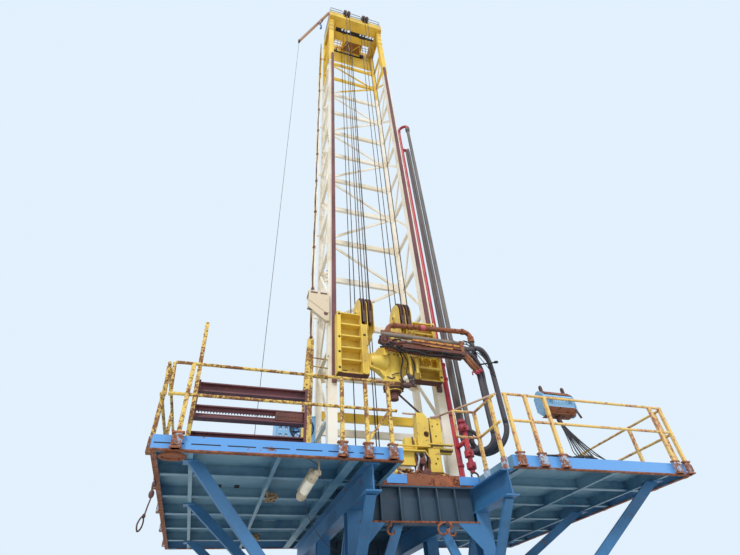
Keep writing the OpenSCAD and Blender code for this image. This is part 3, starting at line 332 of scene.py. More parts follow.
def finishes():
    """Every finish of the rig, by its name."""
    tones = bpy.context.scene.rig_paint
    rust = tuple(tones.rust)
    pale = linear(176, 200, 222)
    return {
        "steel_blue": painted("steel_blue", tuple(tones.steel_blue), linear(40, 92, 134), rust, 0.24, 0.5,
                              1.0, 0.7),
        "girder": painted("girder", tuple(tones.steel_blue), linear(40, 92, 134), rust, 0.26, 0.5, 1.0, 0.7,
                          above=(UNDER - 0.6, linear(52, 74, 92))),
        "deck": painted("deck", tuple(tones.under_blue), linear(68, 116, 148), rust, 0.18, 0.5, 1.0, 0.3,
                        lip=(UNDER + 0.016, UNDER + 0.024), edge=tuple(tones.edge_blue)),
        "edge_blue": painted("edge_blue", tuple(tones.edge_blue), linear(76, 138, 204), rust, 0.26, 0.45, 0.8,
                             0.4),
        "rail": painted("rail", tuple(tones.rail_yellow), linear(196, 160, 82), linear(132, 88, 56), 0.56,
                        0.5, 0.27, 0.2, below=(FLOOR + 0.021, pale)),
        "rail_right": painted("rail_right", linear(220, 184, 106), linear(204, 160, 108),
                              linear(166, 110, 88), 0.46, 0.5, 0.34, 0.2, below=(FLOOR + 0.021, pale)),
        "socket": painted("socket", linear(150, 168, 188), linear(118, 140, 170), rust, 0.62, 0.6, 0.4, 0.4),
        "landing": painted("landing", linear(206, 190, 164), linear(184, 164, 138), rust, 0.34, 0.6, 0.7,
                           0.8),
        "cream": painted("cream", tuple(tones.mast_cream), linear(222, 208, 180), rust, 0.2, 0.5, 1.0, 1.0,
                         above=(YELLOW_FROM, tuple(tones.crown_yellow))),
        "crown": painted("crown", tuple(tones.crown_yellow), linear(204, 168, 60), rust, 0.16, 0.45, 1.2,
                         0.8),
        "jib": painted("jib", linear(190, 158, 136), linear(166, 132, 130), rust, 0.2, 0.5, 1.0, 0.3),
        "carriage": painted("carriage", tuple(tones.carriage_yellow), linear(202, 168, 78), rust, 0.3, 0.45,
                            0.6, 0.8),
        "maroon": painted("maroon", tuple(tones.maroon), linear(88, 52, 58), rust, 0.3, 0.55, 0.8, 0.6),
        "red": painted("red", tuple(tones.pipe_red), linear(160, 46, 66), rust, 0.3, 0.42, 0.5, 0.6),
        "valve_red": painted("valve_red", linear(150, 42, 58), linear(116, 40, 56), rust, 0.4, 0.5, 0.3, 0.4),
        "box_blue": painted("box_blue", linear(48, 100, 160), linear(66, 92, 134), rust, 0.42, 0.5, 0.45,
                            0.5),
        "rusty": painted("rusty", rust, linear(168, 96, 62), linear(104, 56, 40), 0.5, 0.8, 0.5, 0.4),
        "rusty_panel": painted("rusty_panel", linear(150, 98, 34), linear(126, 78, 36), rust, 0.3, 0.6, 0.8,
                               0.4),
        "rusty_orange": painted("rusty_orange", linear(200, 140, 62), linear(160, 96, 54), rust, 0.5, 0.75,
                                0.5, 0.3),
        "rusty_brown": painted("rusty_brown", linear(146, 94, 62), linear(104, 66, 52), linear(124, 70, 48),
                               0.5, 0.8, 0.5, 0.3),
        "rusty_dark": painted("rusty_dark", linear(104, 62, 54), linear(82, 54, 52), linear(120, 66, 46),
                              0.4, 0.8, 0.5, 0.4),
        "brown": painted("brown", linear(92, 62, 56), linear(70, 50, 52), rust, 0.35, 0.6, 0.6, 0.4),
        "galvanised": painted("galvanised", linear(176, 184, 194), linear(150, 158, 168), rust, 0.1, 0.5,
                              0.6, 0.4),
        "grey_wrap": painted("grey_wrap", linear(132, 122, 112), linear(104, 92, 84), rust, 0.24, 0.8, 0.35,
                             0.2),
        "beige": painted("beige", linear(196, 186, 164), linear(160, 148, 124), rust, 0.34, 0.5, 0.4, 0.4),
        "wire": bare_steel("wire", linear(74, 70, 74), linear(46, 42, 46), 0.4, 0.6),
        "dark_steel": bare_steel("dark_steel", linear(84, 72, 68), linear(50, 42, 42), 0.45, 0.5),
        "hose": rubber("hose", tuple(tones.hose), linear(84, 78, 84)),
        "hose_dusty": rubber("hose_dusty", linear(88, 82, 82), linear(122, 116, 112)),
        "black": rubber("black", linear(40, 40, 48), linear(72, 68, 70), 0.5),
        "shadow": rubber("shadow", linear(34, 30, 32), linear(52, 44, 42), 0.8),
        "glass": glass("glass", linear(244, 240, 224)),
        "white": painted("white", linear(240, 240, 240), linear(214, 214, 214), rust, 0.1, 0.5, 0.4, 0.3),
        "rope": rubber("rope", linear(150, 128, 100), linear(112, 92, 70), 0.85),
        "pink": painted("pink", linear(214, 104, 112), linear(190, 84, 90), rust, 0.1, 0.6, 0.5, 0.2),
        "fan_blue": painted("fan_blue", linear(120, 168, 216), linear(92, 140, 190), rust, 0.1, 0.4, 0.4,
                            0.2),
    }


# The finishes of the kept nodes: each finish and the nodes that have it
NODE_FINISH = {
    "steel_blue": ["left_base_skid", "right_base_skid", "base_cross_beams", "left_column_frame",
                   "right_column_frame", "wing_braces"],
    "girder": ["front_frame", "rear_frame"],
    "deck": ["left_wing_deck", "centre_deck", "recess_decks", "right_wing_deck"],
    "rail": ["left_front_handrail", "left_side_handrail", "rear_handrail", "leaning_pole", "side_post"],
    "rail_right": ["right_side_handrail", "right_front_handrail", "recess_handrail"],
    "landing": ["ladder_landing"],
    "cream": ["mast_left_side", "mast_right_side", "mast_back", "mast_ladder", "winch_cover"],
    "crown": ["crown_frame", "mast_base_beam"],
    "jib": ["jib"],
    "carriage": ["carriage_left_frame", "carriage_right_frame", "top_drive", "floor_tongs"],
    "maroon": ["guide_rails", "beam_rack"],
    "red": ["standpipe", "manifold"],
    "box_blue": ["cooler_box"],
    "fan_blue": ["cooler_fan"],
    "rusty": ["rotary_table", "gooseneck_pipe"],
    "rusty_brown": ["service_arm"],
    "brown": ["crown_sheaves_left", "crown_sheaves_right", "travelling_sheaves_left",
              "travelling_sheaves_right"],
    "galvanised": ["crown_guardrail"],
    "wire": ["fast_lines", "catline"],
    "rusty_dark": ["quill"],
}


class Shape:
    """Collects the solids of one piece in one mesh."""

    def __init__(self):
        self.mesh = bmesh.new()

    def _smooth(self, verts, keep=None):
        for face in {f for v in verts for f in v.link_faces}:
            if len(face.verts) <= 4 and (keep is None or keep(face)):
                face.smooth = True

    def box(self, lo, hi):
        lo, hi = Vector(lo), Vector(hi)
        size = Matrix.Diagonal((*(hi - lo), 1))
        bmesh.ops.create_cube(self.mesh, size=1, matrix=Matrix.Translation((lo + hi) / 2) @ size)
        return self

    def bar(self, a, b, width, thick):
        """Straight bar from a to b; thick is measured upright as far as the bar allows."""
        a, b = Vector(a), Vector(b)
        along = (b - a).normalized()
        up = Vector((0, 0, 1))
        if abs(along.dot(up)) > 0.98:
            up = Vector((0, 1, 0))
        side = along.cross(up).normalized()
        up = side.cross(along)
        turn = Matrix((side, along, up)).transposed().to_4x4()
        size = Matrix.Diagonal((width, (b - a).length, thick, 1))
        bmesh.ops.create_cube(self.mesh, size=1, matrix=Matrix.Translation((a + b) / 2) @ turn @ size)
        return self

    def rod(self, a, b, radius, sides=14, end=None):
        """Round bar from a to b; end is its radius at b where that differs."""
        a, b = Vector(a), Vector(b)
        turn = (b - a).to_track_quat("Z", "Y").to_matrix().to_4x4()
        made = bmesh.ops.create_cone(self.mesh, cap_ends=True, segments=sides, radius1=radius,
                                     radius2=radius if end is None else end, depth=(b - a).length,
                                     matrix=Matrix.Translation((a + b) / 2) @ turn)
        self._smooth(made["verts"], lambda f: len(f.verts) == 4)
        return self

    def ball(self, centre, radius, stretch=(1, 1, 1)):
        made = bmesh.ops.create_uvsphere(self.mesh, u_segments=14, v_segments=9, radius=radius,
                                         matrix=Matrix.Translation(centre) @ Matrix.Diagonal((*stretch, 1)))
        self._smooth(made["verts"])
        return self

    def turned(self, at, axis, profile, sides=28):
        """Solid of revolution; profile holds (distance along the axis, radius)."""
        turn = Vector(axis).to_track_quat("Z", "Y").to_matrix()
        at = Vector(at)
        rings = []
        for along, radius in profile:
            rings.append([self.mesh.verts.new(at + turn @ Vector((radius * math.cos(math.tau * k / sides),
                          radius * math.sin(math.tau * k / sides), along))) for k in range(sides)])
        for low, high in zip(rings, rings[1:]):
            for k in range(sides):
                face = self.mesh.faces.new((low[k], low[(k + 1) % sides], high[(k + 1) % sides], high[k]))
                face.smooth = True
        self.mesh.faces.new(rings[0][::-1])
        self.mesh.faces.new(rings[-1])
        return self

    def tube(self, points, radius, sides=10):
        """Round tube along points; radius is one number or a function of the share of the way."""
        points = [Vector(p) for p in points]
        last = len(points) - 1
        side = None
        rings = []
        for i, point in enumerate(points):
            along = (points[min(i + 1, last)] - points[max(i - 1, 0)]).normalized()
            if side is None:
                side = along.cross(Vector((0.31, 0.92, 0.23))).normalized()
            side = (side - along * side.dot(along)).normalized()
            over = along.cross(side)
            r = radius(i / last) if callable(radius) else radius
            rings.append([self.mesh.verts.new(point + r * (math.cos(math.tau * k / sides) * side
                          + math.sin(math.tau * k / sides) * over)) for k in range(sides)])
        for low, high in zip(rings, rings[1:]):
            for k in range(sides):
                face = self.mesh.faces.new((low[k], low[(k + 1) % sides], high[(k + 1) % sides], high[k]))
                face.smooth = True
        self.mesh.faces.new(rings[0][::-1])
        self.mesh.faces.new(rings[-1])
        return self

    def plate(self, points, thick):
        """Flat plate with the given outline, thickened by the vector thick."""
        thick = Vector(thick)
        low = [self.mesh.verts.new(Vector(p)) for p in points]
        high = [self.mesh.verts.new(Vector(p) + thick) for p in points]
        n = len(points)
        self.mesh.faces.new(low[::-1])
        self.mesh.faces.new(high)
        for k in range(n):
            self.mesh.faces.new((low[k], low[(k + 1) % n], high[(k + 1) % n], high[k]))
        return self

    def bolt(self, at, axis, radius):
        """Hexagonal head on a washer; axis points out of the surface."""
        at, axis = Vector(at), Vector(axis).normalized()
        height = radius * 0.8
        self.rod(at - axis * 0.002, at + axis * height * 0.35, radius * 1.5, 12)
        self.rod(at, at + axis * height, radius, 6)
        return self

    def piece(self, name, finish, body="rig", slot="dark_steel", replaces=(), bevel=0.0):
        """Makes the object, gives it its finish and lets it ride on its body."""
        bmesh.ops.recalc_face_normals(self.mesh, faces=self.mesh.faces)
        data = bpy.data.meshes.new(name)
        self.mesh.to_mesh(data)
        self.mesh.free()
        obj = bpy.data.objects.new(name, data)
        bpy.context.scene.collection.objects.link(obj)
        data.materials.append(FINISHES[finish])
        if bevel:
            soften(obj, bevel)
        if body:
            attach(obj, body)
        if replaces:
            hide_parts(*replaces)
        return obj


FINISHES = {}


def soften(obj, width):
    """Rounds the hard edges a little, as rolled and painted steel has them."""
    mod = obj.modifiers.new("edges", "BEVEL")
    mod.width = width
    mod.segments = 2
    mod.limit_method = "ANGLE"
    mod.angle_limit = math.radians(50)
    mod.harden_normals = False


def curve(points, steps=8):
    """Smooth points through the given ones."""
    points = [Vector(p) for p in points]
    ends = [2 * points[0] - points[1]] + points + [2 * points[-1] - points[-2]]
    out = []
    for i in range(1, len(ends) - 2):
        a, b, c, d = ends[i - 1:i + 3]
        for k in range(steps):
            t = k / steps
            bend, twist = 2 * a - 5 * b + 4 * c - d, 3 * b - 3 * c + d - a
            out.append(0.5 * (2 * b + (c - a) * t + bend * t * t + twist * t ** 3))
    out.append(points[-1])
    return out


def arc(centre, across, up, count, start=0.0, turns=1.0):
    """Points round an ellipse with the half axes across and up, over the given share of a full turn."""
    centre, across, up = Vector(centre), Vector(across), Vector(up)
    angles = [math.tau * (start + turns * k / count) for k in range(count + 1)]
    return [centre + across * math.cos(angle) + up * math.sin(angle) for angle in angles]


def cable(name, points, radius, finish="black", body="rig", steps=8, sides=8):
    """A free cable or thin hose along points."""
    path = curve(points, steps)
    obj = Shape().tube(path, radius, sides).piece(name, finish, body, "hose_rubber")


# Stage


class RIG_OT_stage(bpy.types.Operator):
    """Set the camera, the lamps, the pale floor and the sky-pale backdrop"""
    bl_idname = "rig.stage"
    bl_label = "Stage"

    def execute(self, context):
        cam = bpy.data.cameras.new("camera")
        cam.lens = CAMERA_LENS
        cam.sensor_width = 36
        cam.sensor_fit = "HORIZONTAL"
        obj = bpy.data.objects.new("camera", cam)
        turn = Matrix((CAMERA_RIGHT, CAMERA_UP,
                       -CAMERA_LOOK)).transposed().to_quaternion().to_matrix().to_4x4()
        obj.matrix_world = Matrix.Translation(CAMERA_AT) @ turn
        context.scene.collection.objects.link(obj)
        context.scene.camera = obj
        world = bpy.data.worlds.new("sky")
        context.scene.world = world
        world.use_nodes = True
        tree = world.node_tree
        tree.nodes.clear()
        seen = tree.nodes.new("ShaderNodeBackground")
        seen.inputs[0].default_value = (*linear(*SKY_SEEN), 1)
        seen.inputs[1].default_value = 1.0
        light = tree.nodes.new("ShaderNodeBackground")
        light.inputs[0].default_value = (*linear(*SKY_LIGHT), 1)
        light.inputs[1].default_value = 0.85
        path = tree.nodes.new("ShaderNodeLightPath")
        either = tree.nodes.new("ShaderNodeMath")
        either.operation = "MAXIMUM"
        all_three = tree.nodes.new("ShaderNodeMath")
        all_three.operation = "MAXIMUM"
        tree.links.new(path.outputs["Is Camera Ray"], either.inputs[0])
        tree.links.new(path.outputs["Is Glossy Ray"], either.inputs[1])
        tree.links.new(either.outputs[0], all_three.inputs[0])
        tree.links.new(path.outputs["Is Transmission Ray"], all_three.inputs[1])
        mix = tree.nodes.new("ShaderNodeMixShader")
        out = tree.nodes.new("ShaderNodeOutputWorld")
        tree.links.new(all_three.outputs[0], mix.inputs[0])
        tree.links.new(light.outputs[0], mix.inputs[1])
        tree.links.new(seen.outputs[0], mix.inputs[2])
        tree.links.new(mix.outputs[0], out.inputs[0])
        for name, toward, energy, angle in LAMPS:
            lamp = bpy.data.lights.new(name, "SUN")
            lamp.energy = energy
            lamp.angle = math.radians(angle)
            lamp_obj = bpy.data.objects.new(name, lamp)
            lamp_obj.rotation_euler = Vector(toward).to_track_quat("-Z", "Y").to_euler()
            lamp_obj.location = (0, -8, 20)
            context.scene.collection.objects.link(lamp_obj)
        ground = Shape()
        bmesh.ops.create_grid(ground.mesh, x_segments=8, y_segments=8, size=60)
        data = bpy.data.meshes.new("ground")
        ground.mesh.to_mesh(data)
        ground.mesh.free()
        floor = bpy.data.objects.new("ground", data)
        n = Nodes("ground")
        n.link(n.mix(n.noise(0.4, 3), linear(*GROUND_PALE), linear(*GROUND_DARK)),
               n.shader.inputs["Base Color"])
        n.shader.inputs["Roughness"].default_value = 0.9
        data.materials.append(n.material)
        context.scene.collection.objects.link(floor)
        context.scene.view_settings.view_transform = "Standard"
        return {"FINISHED"}


class RIG_OT_paint_frame(bpy.types.Operator):
    """Give every kept node of the frame its weathered finish"""
    bl_idname = "rig.paint_frame"
    bl_label = "Paint the frame"

    def execute(self, context):
        FINISHES.update(finishes())
        for finish, names in NODE_FINISH.items():
            for name in names:
                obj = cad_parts[name]
                obj.data.materials.clear()
                obj.data.materials.append(FINISHES[finish])
        return {"FINISHED"}


# Lines and hoses


class RIG_OT_drill_lines(bpy.types.Operator):
    """String the wire drill lines between the crown and the travelling sheaves"""
    bl_idname = "rig.drill_lines"
    bl_label = "Drill lines"

    def execute(self, context):
        lo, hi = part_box("drill_lines")
        lines = Shape()
        for side in (-1, 1):
            for share in (-0.5, 0.5):
                for fall in (-1, 1):
                    x = MAST_X + side * SHEAVE_X + share * SHEAVE_SPACING
                    y = (lo.y + hi.y) / 2 + fall * ((hi.y - lo.y) / 2 - LINE_RADIUS)
                    lines.tube([(x, y, hi.z + (lo.z - hi.z) * k / 24) for k in range(25)], LINE_RADIUS, 8)
        obj = lines.piece("drill_line_wires", "wire", "rig", "dark_steel", ("drill_lines",))
        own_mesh(obj)
        return {"FINISHED"}


def hose(name, path, radius, body, nodes, finish="hose"):
    """One piece of a large hose along path."""
    obj = Shape().tube(path, radius, 18).piece(name, finish, body, "hose_rubber", nodes)
    return obj


def hose_leg(name, plan, top, bottom, radius, nodes=(), lean=0.0):
    """Long leg of a hose loop. lean moves its top end back in Y."""
    count = 40
    path = [Vector((*plan, top + (bottom - top) * k / count)) for k in range(count + 1)]
    path[0].y += lean
    obj = hose(name, path, radius, "rig", nodes, "hose_dusty")
    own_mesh(obj)


def hose_bend(name, a, b, z, radius, nodes=()):
    """Half round at the foot of a hose loop, in the vertical plane through a and b."""
    a, b = Vector((*a, z)), Vector((*b, z))
    half = (b - a) / 2
    path = arc((a + b) / 2, -half, (0, 0, -half.length), 28, turns=0.5)
    hose(name, path, radius, "hose_bends", nodes)


def hose_short(name, points, radius, nodes=()):
    """Short leg of a hose loop, from the carriage down to the bend."""
    path = [Vector(p) for p in points]
    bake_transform(hose(name, path, radius, None, nodes))


class RIG_OT_hoses(bpy.types.Operator):
    """Hang the mud hose, the service loop and the second hose beside the mast"""
    bl_idname = "rig.hoses"
    bl_label = "Hoses"

    def execute(self, context):
        hose_leg("mud_hose_leg", MUD_A, MUD_TOP, MUD_Z, MUD_RADIUS, ("mud_hose_long",))
        hose_bend("mud_hose_turn", MUD_A, MUD_B, MUD_Z, MUD_RADIUS, ("mud_hose_bend",))
        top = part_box("mud_hose_short")[1].z
        fall = [(*MUD_B, top + (MUD_Z - top) * k / 20) for k in range(21)]
        hose_short("mud_hose_drop", fall, MUD_RADIUS, ("mud_hose_short",))
        hose_leg("service_loop_leg", LOOP_A, LOOP_TOP, LOOP_Z, LOOP_RADIUS, ("service_loop_long",))
        hose_bend("service_loop_turn", LOOP_A, LOOP_B, LOOP_Z, LOOP_RADIUS, ("service_loop_bend",))
        over = [(-0.77, -0.13, ARM_Z + 0.14), (-0.6, -0.128, ARM_Z + 0.165), (-0.43, -0.118, ARM_Z + 0.21),
                (-0.29, -0.095, ARM_Z + 0.24), (-0.17, -0.065, ARM_Z + 0.21), (-0.07, -0.035, ARM_Z + 0.08),
                (-0.015, -0.015, ARM_Z - 0.17), (0, -0.005, ARM_Z - 0.52), (0, 0, ARM_Z - 1.02),
                (0, 0, LOOP_Z)]
        path = curve([(LOOP_B[0] + x, LOOP_B[1] + y, z) for x, y, z in over], 4)
        hose_short("service_loop_drop", path, LOOP_RADIUS, ("service_loop_short",))
        # The second hose hangs between the two and comes down beside the mud hose
        second_a = (LOOP_A[0] + 0.012, LOOP_A[1] - 0.11)
        second_b = (MUD_B[0] + 0.104, MUD_B[1] + 0.03)
        hose_leg("second_hose_leg", second_a, LOOP_TOP, SECOND_Z, SECOND_RADIUS, lean=0.034)
        hose_bend("second_hose_turn", second_a, second_b, SECOND_Z, SECOND_RADIUS)
        over = [(1.235, -1.8, 6.86), (1.33, -1.79, 6.9), (1.46, -1.76, 6.9), (1.58, -1.72, 6.84),
                (1.68, -1.685, 6.7), (1.735, -1.668, 6.5), (*second_b, 6.25), (*second_b, 5.8),
                (*second_b, SECOND_Z)]
        hose_short("second_hose_drop", curve(over, 4), SECOND_RADIUS)
        return {"FINISHED"}


# Crown


class RIG_OT_crown(bpy.types.Operator):
    """Add the crown's front edge, braces, painted shade over its slot and back, and sheave cheeks, and the
    jib's sheave, hook and chain
    """
    bl_idname = "rig.crown"
    bl_label = "Crown fittings"

    def execute(self, context):
        front = MAST_FRONT - 0.16
        back = MAST_BACK - 0.06
        left, right = MAST_X - MAST_HALF, MAST_X + MAST_HALF
        trim = Shape()
        trim.rod((left + 0.02, front + 0.03, CROWN_TOP - 0.04),
                 (right - 0.02, front + 0.03, CROWN_TOP - 0.04), 0.05, 16)
        for x in (left, right):
            out = -1 if x == left else 1
            trim.plate([(x, front, CROWN_TOP), (x, front, PLATFORM), (x, MAST_FRONT + 0.25, CROWN_TOP - 1.1),
                        (x, MAST_FRONT + 0.45, CROWN_TOP)], (out * 0.02, 0, 0))
            for z in (CROWN_BASE + 0.1, CROWN_BASE + 0.6, CROWN_BASE + 1.1):
                inner, outer = sorted((x + out * 0.02, x - out * 0.22))
                trim.box((inner, MAST_FRONT - 0.02, z), (outer, MAST_FRONT, z + 0.03))
        for x in (-1.0, 1.12):
            trim.box((MAST_X + x, front + 0.14, PLATFORM - 0.06), (MAST_X + x + 0.04, back, PLATFORM))
        trim.piece("crown_trim", "crown", "rig", "crown_yellow", bevel=0.006)
        # A brown panel on the platform between its openings
        panel = Shape()
        z = PLATFORM
        outline = ((-0.25, -0.22), (0.6, -0.22), (0.6, back - 0.01), (-0.42, back - 0.01))
        panel.plate([(MAST_X + x, y, z) for x, y in outline], (0, 0, -0.012))
        panel.piece("crown_brown_panel", "rusty_panel", "rig", "crown_yellow")
        brace = Shape()
        for a, b in ((-0.42, -0.17), (0.1, -0.17), (0.1, 0.5), (0.62, 0.5)):
            brace.bar((MAST_X + a, back - 0.02, z - 0.03), (MAST_X + b, -0.18, z - 0.03), 0.035, 0.03)
        brace.piece("crown_braces", "crown", "rig", "crown_yellow", bevel=0.004)
        # Painted shade: dark strips and blocks at the crown's back stand for the shade there
        dark = Shape()
        dark.box((MAST_X - 1.1, back - 0.03, CROWN_TOP - 0.92),
                 (MAST_X + 0.72, back - 0.002, CROWN_TOP - 0.78))
        for x in (-1.06, -0.93, 0.62, 0.73):
            dark.box((MAST_X + x, back - 0.1, CROWN_TOP - 0.82),
                     (MAST_X + x + 0.09, back - 0.01, CROWN_TOP - 0.62))
        dark.box((MAST_X - 0.72, back - 0.06, PLATFORM - 0.3), (MAST_X - 0.67, back - 0.01, PLATFORM))
        # Painted shade over the slot: dark bars stand for the shade seen through it, open round the drill
        # lines
        dark.box((MAST_X - 0.98, -0.66, z + 0.004), (MAST_X + 1.14, -0.55, z + 0.018))
        for a, b in ((-0.98, -0.64), (-0.2, 0.36), (0.62, 0.68), (0.8, 0.86), (1.0, 1.05)):
            dark.box((MAST_X + a, -0.76, z + 0.004), (MAST_X + b, -0.66, z + 0.018))
        for middle in (-SHEAVE_X, SHEAVE_X):
            dark.box((MAST_X + middle - 0.03, -0.76, z + 0.004), (MAST_X + middle + 0.03, -0.66, z + 0.018))
            dark.rod((MAST_X + middle - 0.14, -0.6, z - 0.04), (MAST_X + middle + 0.14, -0.6, z - 0.04),
                     0.05, 12)
        dark.piece("crown_painted_shade", "shadow", "rig", "dark_steel", bevel=0.004)
        housing = Shape()
        for middle in (-SHEAVE_X, SHEAVE_X):
            for offset in (-0.165, 0.145):
                centre = (MAST_X + middle + offset, MAST_FRONT + 0.03, CROWN_TOP + 0.22)
                hood = arc(centre, (0, 0.36, 0), (0, 0, 0.36), 12, turns=0.5)
                foot = CROWN_TOP + 0.002
                housing.plate([(*hood[0][:2], foot), *hood, (*hood[-1][:2], foot)], (0.02, 0, 0))
        housing.piece("crown_sheave_cheeks", "brown", "rig", "rusty_steel", bevel=0.003)
        root = Vector((left - 0.06, MAST_FRONT - 0.08, CROWN_TOP - 0.08))
        reach = 2.15
        tip = root + Vector((-0.575 * reach, 0.818 * reach, -0.1))
        wheel = Shape()
        groove = [(0, 0.1), (0.012, 0.11), (0.03, 0.085), (0.048, 0.11), (0.06, 0.1)]
        wheel.turned(tip + Vector((-0.035, 0, -0.06)), (1, 0, 0), groove, 24)
        wheel.box(tip + Vector((-0.05, -0.05, -0.1)), tip + Vector((-0.035, 0.05, 0.09)))
        wheel.box(tip + Vector((0.025, -0.05, -0.1)), tip + Vector((0.04, 0.05, 0.09)))
        wheel.piece("jib_sheave", "shadow", "rig", "dark_steel", bevel=0.003)
        at = root.lerp(tip, 0.27)
        hook = Shape()
        way = ((0.06, 0.02, -0.06), (-0.05, 0, -0.3), (-0.06, 0, -0.5), (0.02, 0, -0.62), (0.03, 0, -0.95),
               (0, 0, -1.05))
        hook.tube(curve([at + Vector(d) for d in way], 5), lambda t: 0.03 if t < 0.5 else 0.045, 10)
        hook.piece("jib_hook", "steel_blue", "rig", "crown_yellow")
        chain = Shape()
        way = ((-0.13, 0.15, -0.05), (-0.1, 0.1, -0.22), (0, 0.03, -0.3), (0.08, -0.06, -0.14),
               (0.1, -0.1, -0.06))
        chain.tube(curve([at + Vector(d) for d in way], 5), 0.025, 8)
        chain.piece("jib_chain", "rusty_dark", "rig", "dark_steel")
        return {"FINISHED"}


# Mast


class RIG_OT_mast(bpy.types.Operator):
    """Add the gussets, clamps, splice plates with bolts, and the cable run of the mast"""
    bl_idname = "rig.mast"
    bl_label = "Mast fittings"

    def execute(self, context):
        gusset, pins = Shape(), Shape()
        for i in range(13):
            z = FIRST_GIRT + i * GIRT_PITCH
            for side in (-1, 1):
                x = MAST_X + side * (MAST_HALF - 0.045)
                for y, sense in ((MAST_FRONT + 0.2, 1), (MAST_BACK - 0.15, -1)):
                    outline = ((0, -0.16), (0, 0.2), (0.09, 0.2), (0.26, 0.045), (0.26, -0.045),
                               (0.09, -0.16))
                    gusset.plate([(x, y + sense * deep, z + up) for deep, up in outline], (0.012, 0, 0))
                if i:
                    x = MAST_X + side * (MAST_HALF - 0.15)
                    y = MAST_BACK - 0.127
                    outline = ((0, -0.2), (0.08, -0.2), (0.3, -0.05), (0.3, 0.05), (0.08, 0.22), (0, 0.22))
                    gusset.plate([(x - side * inward, y, z + up) for inward, up in outline], (0, 0.012, 0))
        gusset.piece("mast_gussets", "cream", "rig", "mast_cream")
        runs = Shape()
        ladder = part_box("mast_ladder")[0]
        for k, (dx, dy, radius) in enumerate(((0, 0, 0.016), (0.03, 0.05, 0.012))):
            way = []
            for j in range(61):
                x = ladder.x - 0.03 + dx + 0.012 * math.sin(j * 1.3 + k)
                y = ladder.y - 0.02 + dy + 0.012 * math.sin(j * 0.9 + 2 * k)
                way.append((x, y, FLOOR + 1.6 + j * (CROWN_BASE - FLOOR - 1.2) / 60))
            runs.tube(way, radius, 8)
        runs.piece("mast_cable_run", "brown", "rig", "dark_steel")
        clamps = Shape()
        for i in range(12):
            z = FIRST_GIRT + (i + 0.5) * GIRT_PITCH
            right = MAST_X + MAST_HALF
            clamps.box((right, MAST_FRONT + 0.06, z + 0.3), (right + 0.03, MAST_FRONT + 0.14, z + 0.38))
            clamps.box((ladder.x - 0.05, ladder.y - 0.04, z), (ladder.x + 0.02, ladder.y + 0.05, z + 0.05))
        clamps.piece("mast_clamps", "rusty", "rig", "rusty_steel", bevel=0.004)
        splice = Shape()
        for z in SPLICES:
            for side in (-1, 1):
                edge_x = MAST_X + side * MAST_HALF
                low, high = sorted((edge_x, edge_x + side * 0.012))
                splice.box((low, MAST_FRONT + 0.01, z - 0.24), (high, MAST_FRONT + 0.19, z + 0.24))
                for k in range(4):
                    pins.bolt((edge_x + side * 0.012, MAST_FRONT + 0.1, z - 0.18 + k * 0.12), (side, 0, 0),
                              0.018)
        splice.piece("mast_splices", "cream", "rig", "mast_cream", bevel=0.003)
        pins.piece("mast_bolts", "dark_steel", "rig", "dark_steel")
        return {"FINISHED"}


class RIG_OT_landing(bpy.types.Operator):
    """Add the slots, rods and stiffening plates of the ladder's landing bracket"""
    bl_idname = "rig.landing"
    bl_label = "Landing bracket"

    def execute(self, context):
        lo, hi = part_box("ladder_landing")
        slots = Shape()
        for x in (lo.x + 0.05, lo.x + 0.29):
            slots.box((x, lo.y - 0.004, hi.z - 0.075), (x + 0.17, lo.y + 0.004, hi.z - 0.035))
        slots.rod((lo.x - 0.02, lo.y + 0.02, 8.03), (hi.x, lo.y + 0.02, 8.03), 0.016, 8)
        slots.rod((hi.x - 0.08, lo.y - 0.01, 7.95), (hi.x - 0.08, lo.y + 0.09, 7.95), 0.05, 12)
        slots.piece("landing_slots", "brown", "rig", "dark_steel")
        gusset = Shape()
        front = lo.y - 0.012
        outline = ((lo.x, 0.15), (hi.x, 0.15), (hi.x, 0.62), (hi.x - 0.08, 0.62), (lo.x, 0.3))
        gusset.plate([(x, front, hi.z - down) for x, down in outline], (0, 0.01, 0))
        outline = ((0.004, 0, 0), (0.03, 0, 0.2), (0.03, 0.2, 0.2), (0.004, 0.2, 0))
        gusset.plate([(lo.x - out, lo.y + back, hi.z - down) for out, back, down in outline], (0.004, 0, 0))
        gusset.piece("landing_gusset", "landing", "rig", "mast_cream", bevel=0.004)
        return {"FINISHED"}


# Carriage


def frame_ribs(side):
    """Ribs and bolts of one carriage frame, on the left or the right, with painted shade in its slots and in
    one hole.
    """
    def place(out):
        return MAST_X + side * out

    def across(a, b):
        return sorted((place(a), place(b)))

    front, foot, head = FRAME_FRONT, FRAME_Z, FRAME_TOP - 0.3
    ribs, dark = Shape(), Shape()
    pitch = (FRAME_TOP - FRAME_Z - 0.025) / 5
    for i in range(5):
        z = FRAME_Z + i * pitch
        a, b = across(FRAME_IN + 0.15, FRAME_OUT - 0.025)
        profile = ((0.04, 0.025), (0.22, 0.025), (0.22, 0.07), (0.04, 0.04))
        ribs.plate([(a, front + back, z + up) for back, up in profile], (b - a, 0, 0))
        slot_x = place(FRAME_IN + 0.23 if side > 0 else FRAME_OUT - 0.22)
        # Painted shade: a thin dark box stands for the shade inside each slot
        if i in (0, 2, 4):
            dark.box((slot_x - 0.05, front + 0.222, z + 0.14), (slot_x + 0.05, front + 0.231, z + 0.17))
    for z in (0.1, 0.49, 0.88, 1.51):
        dark.bolt((place(FRAME_OUT - 0.045), front, foot + z), (0, -1, 0), bpy.context.scene.rig_sizes.bolt)
    # Painted shade: a dark box on the frame's front stands for the shade in a hole
    hole_x = place(FRAME_IN + 0.06)
    dark.box((hole_x - 0.05, front - 0.004, foot + 0.97), (hole_x + 0.06, front + 0.01, foot + 1.02))
    for start in (0, 0.11):
        a, b = across(FRAME_IN + start, FRAME_IN + start + 0.04)
        ribs.box((a, front - 0.02, foot), (b, front, head))
    return ribs, dark


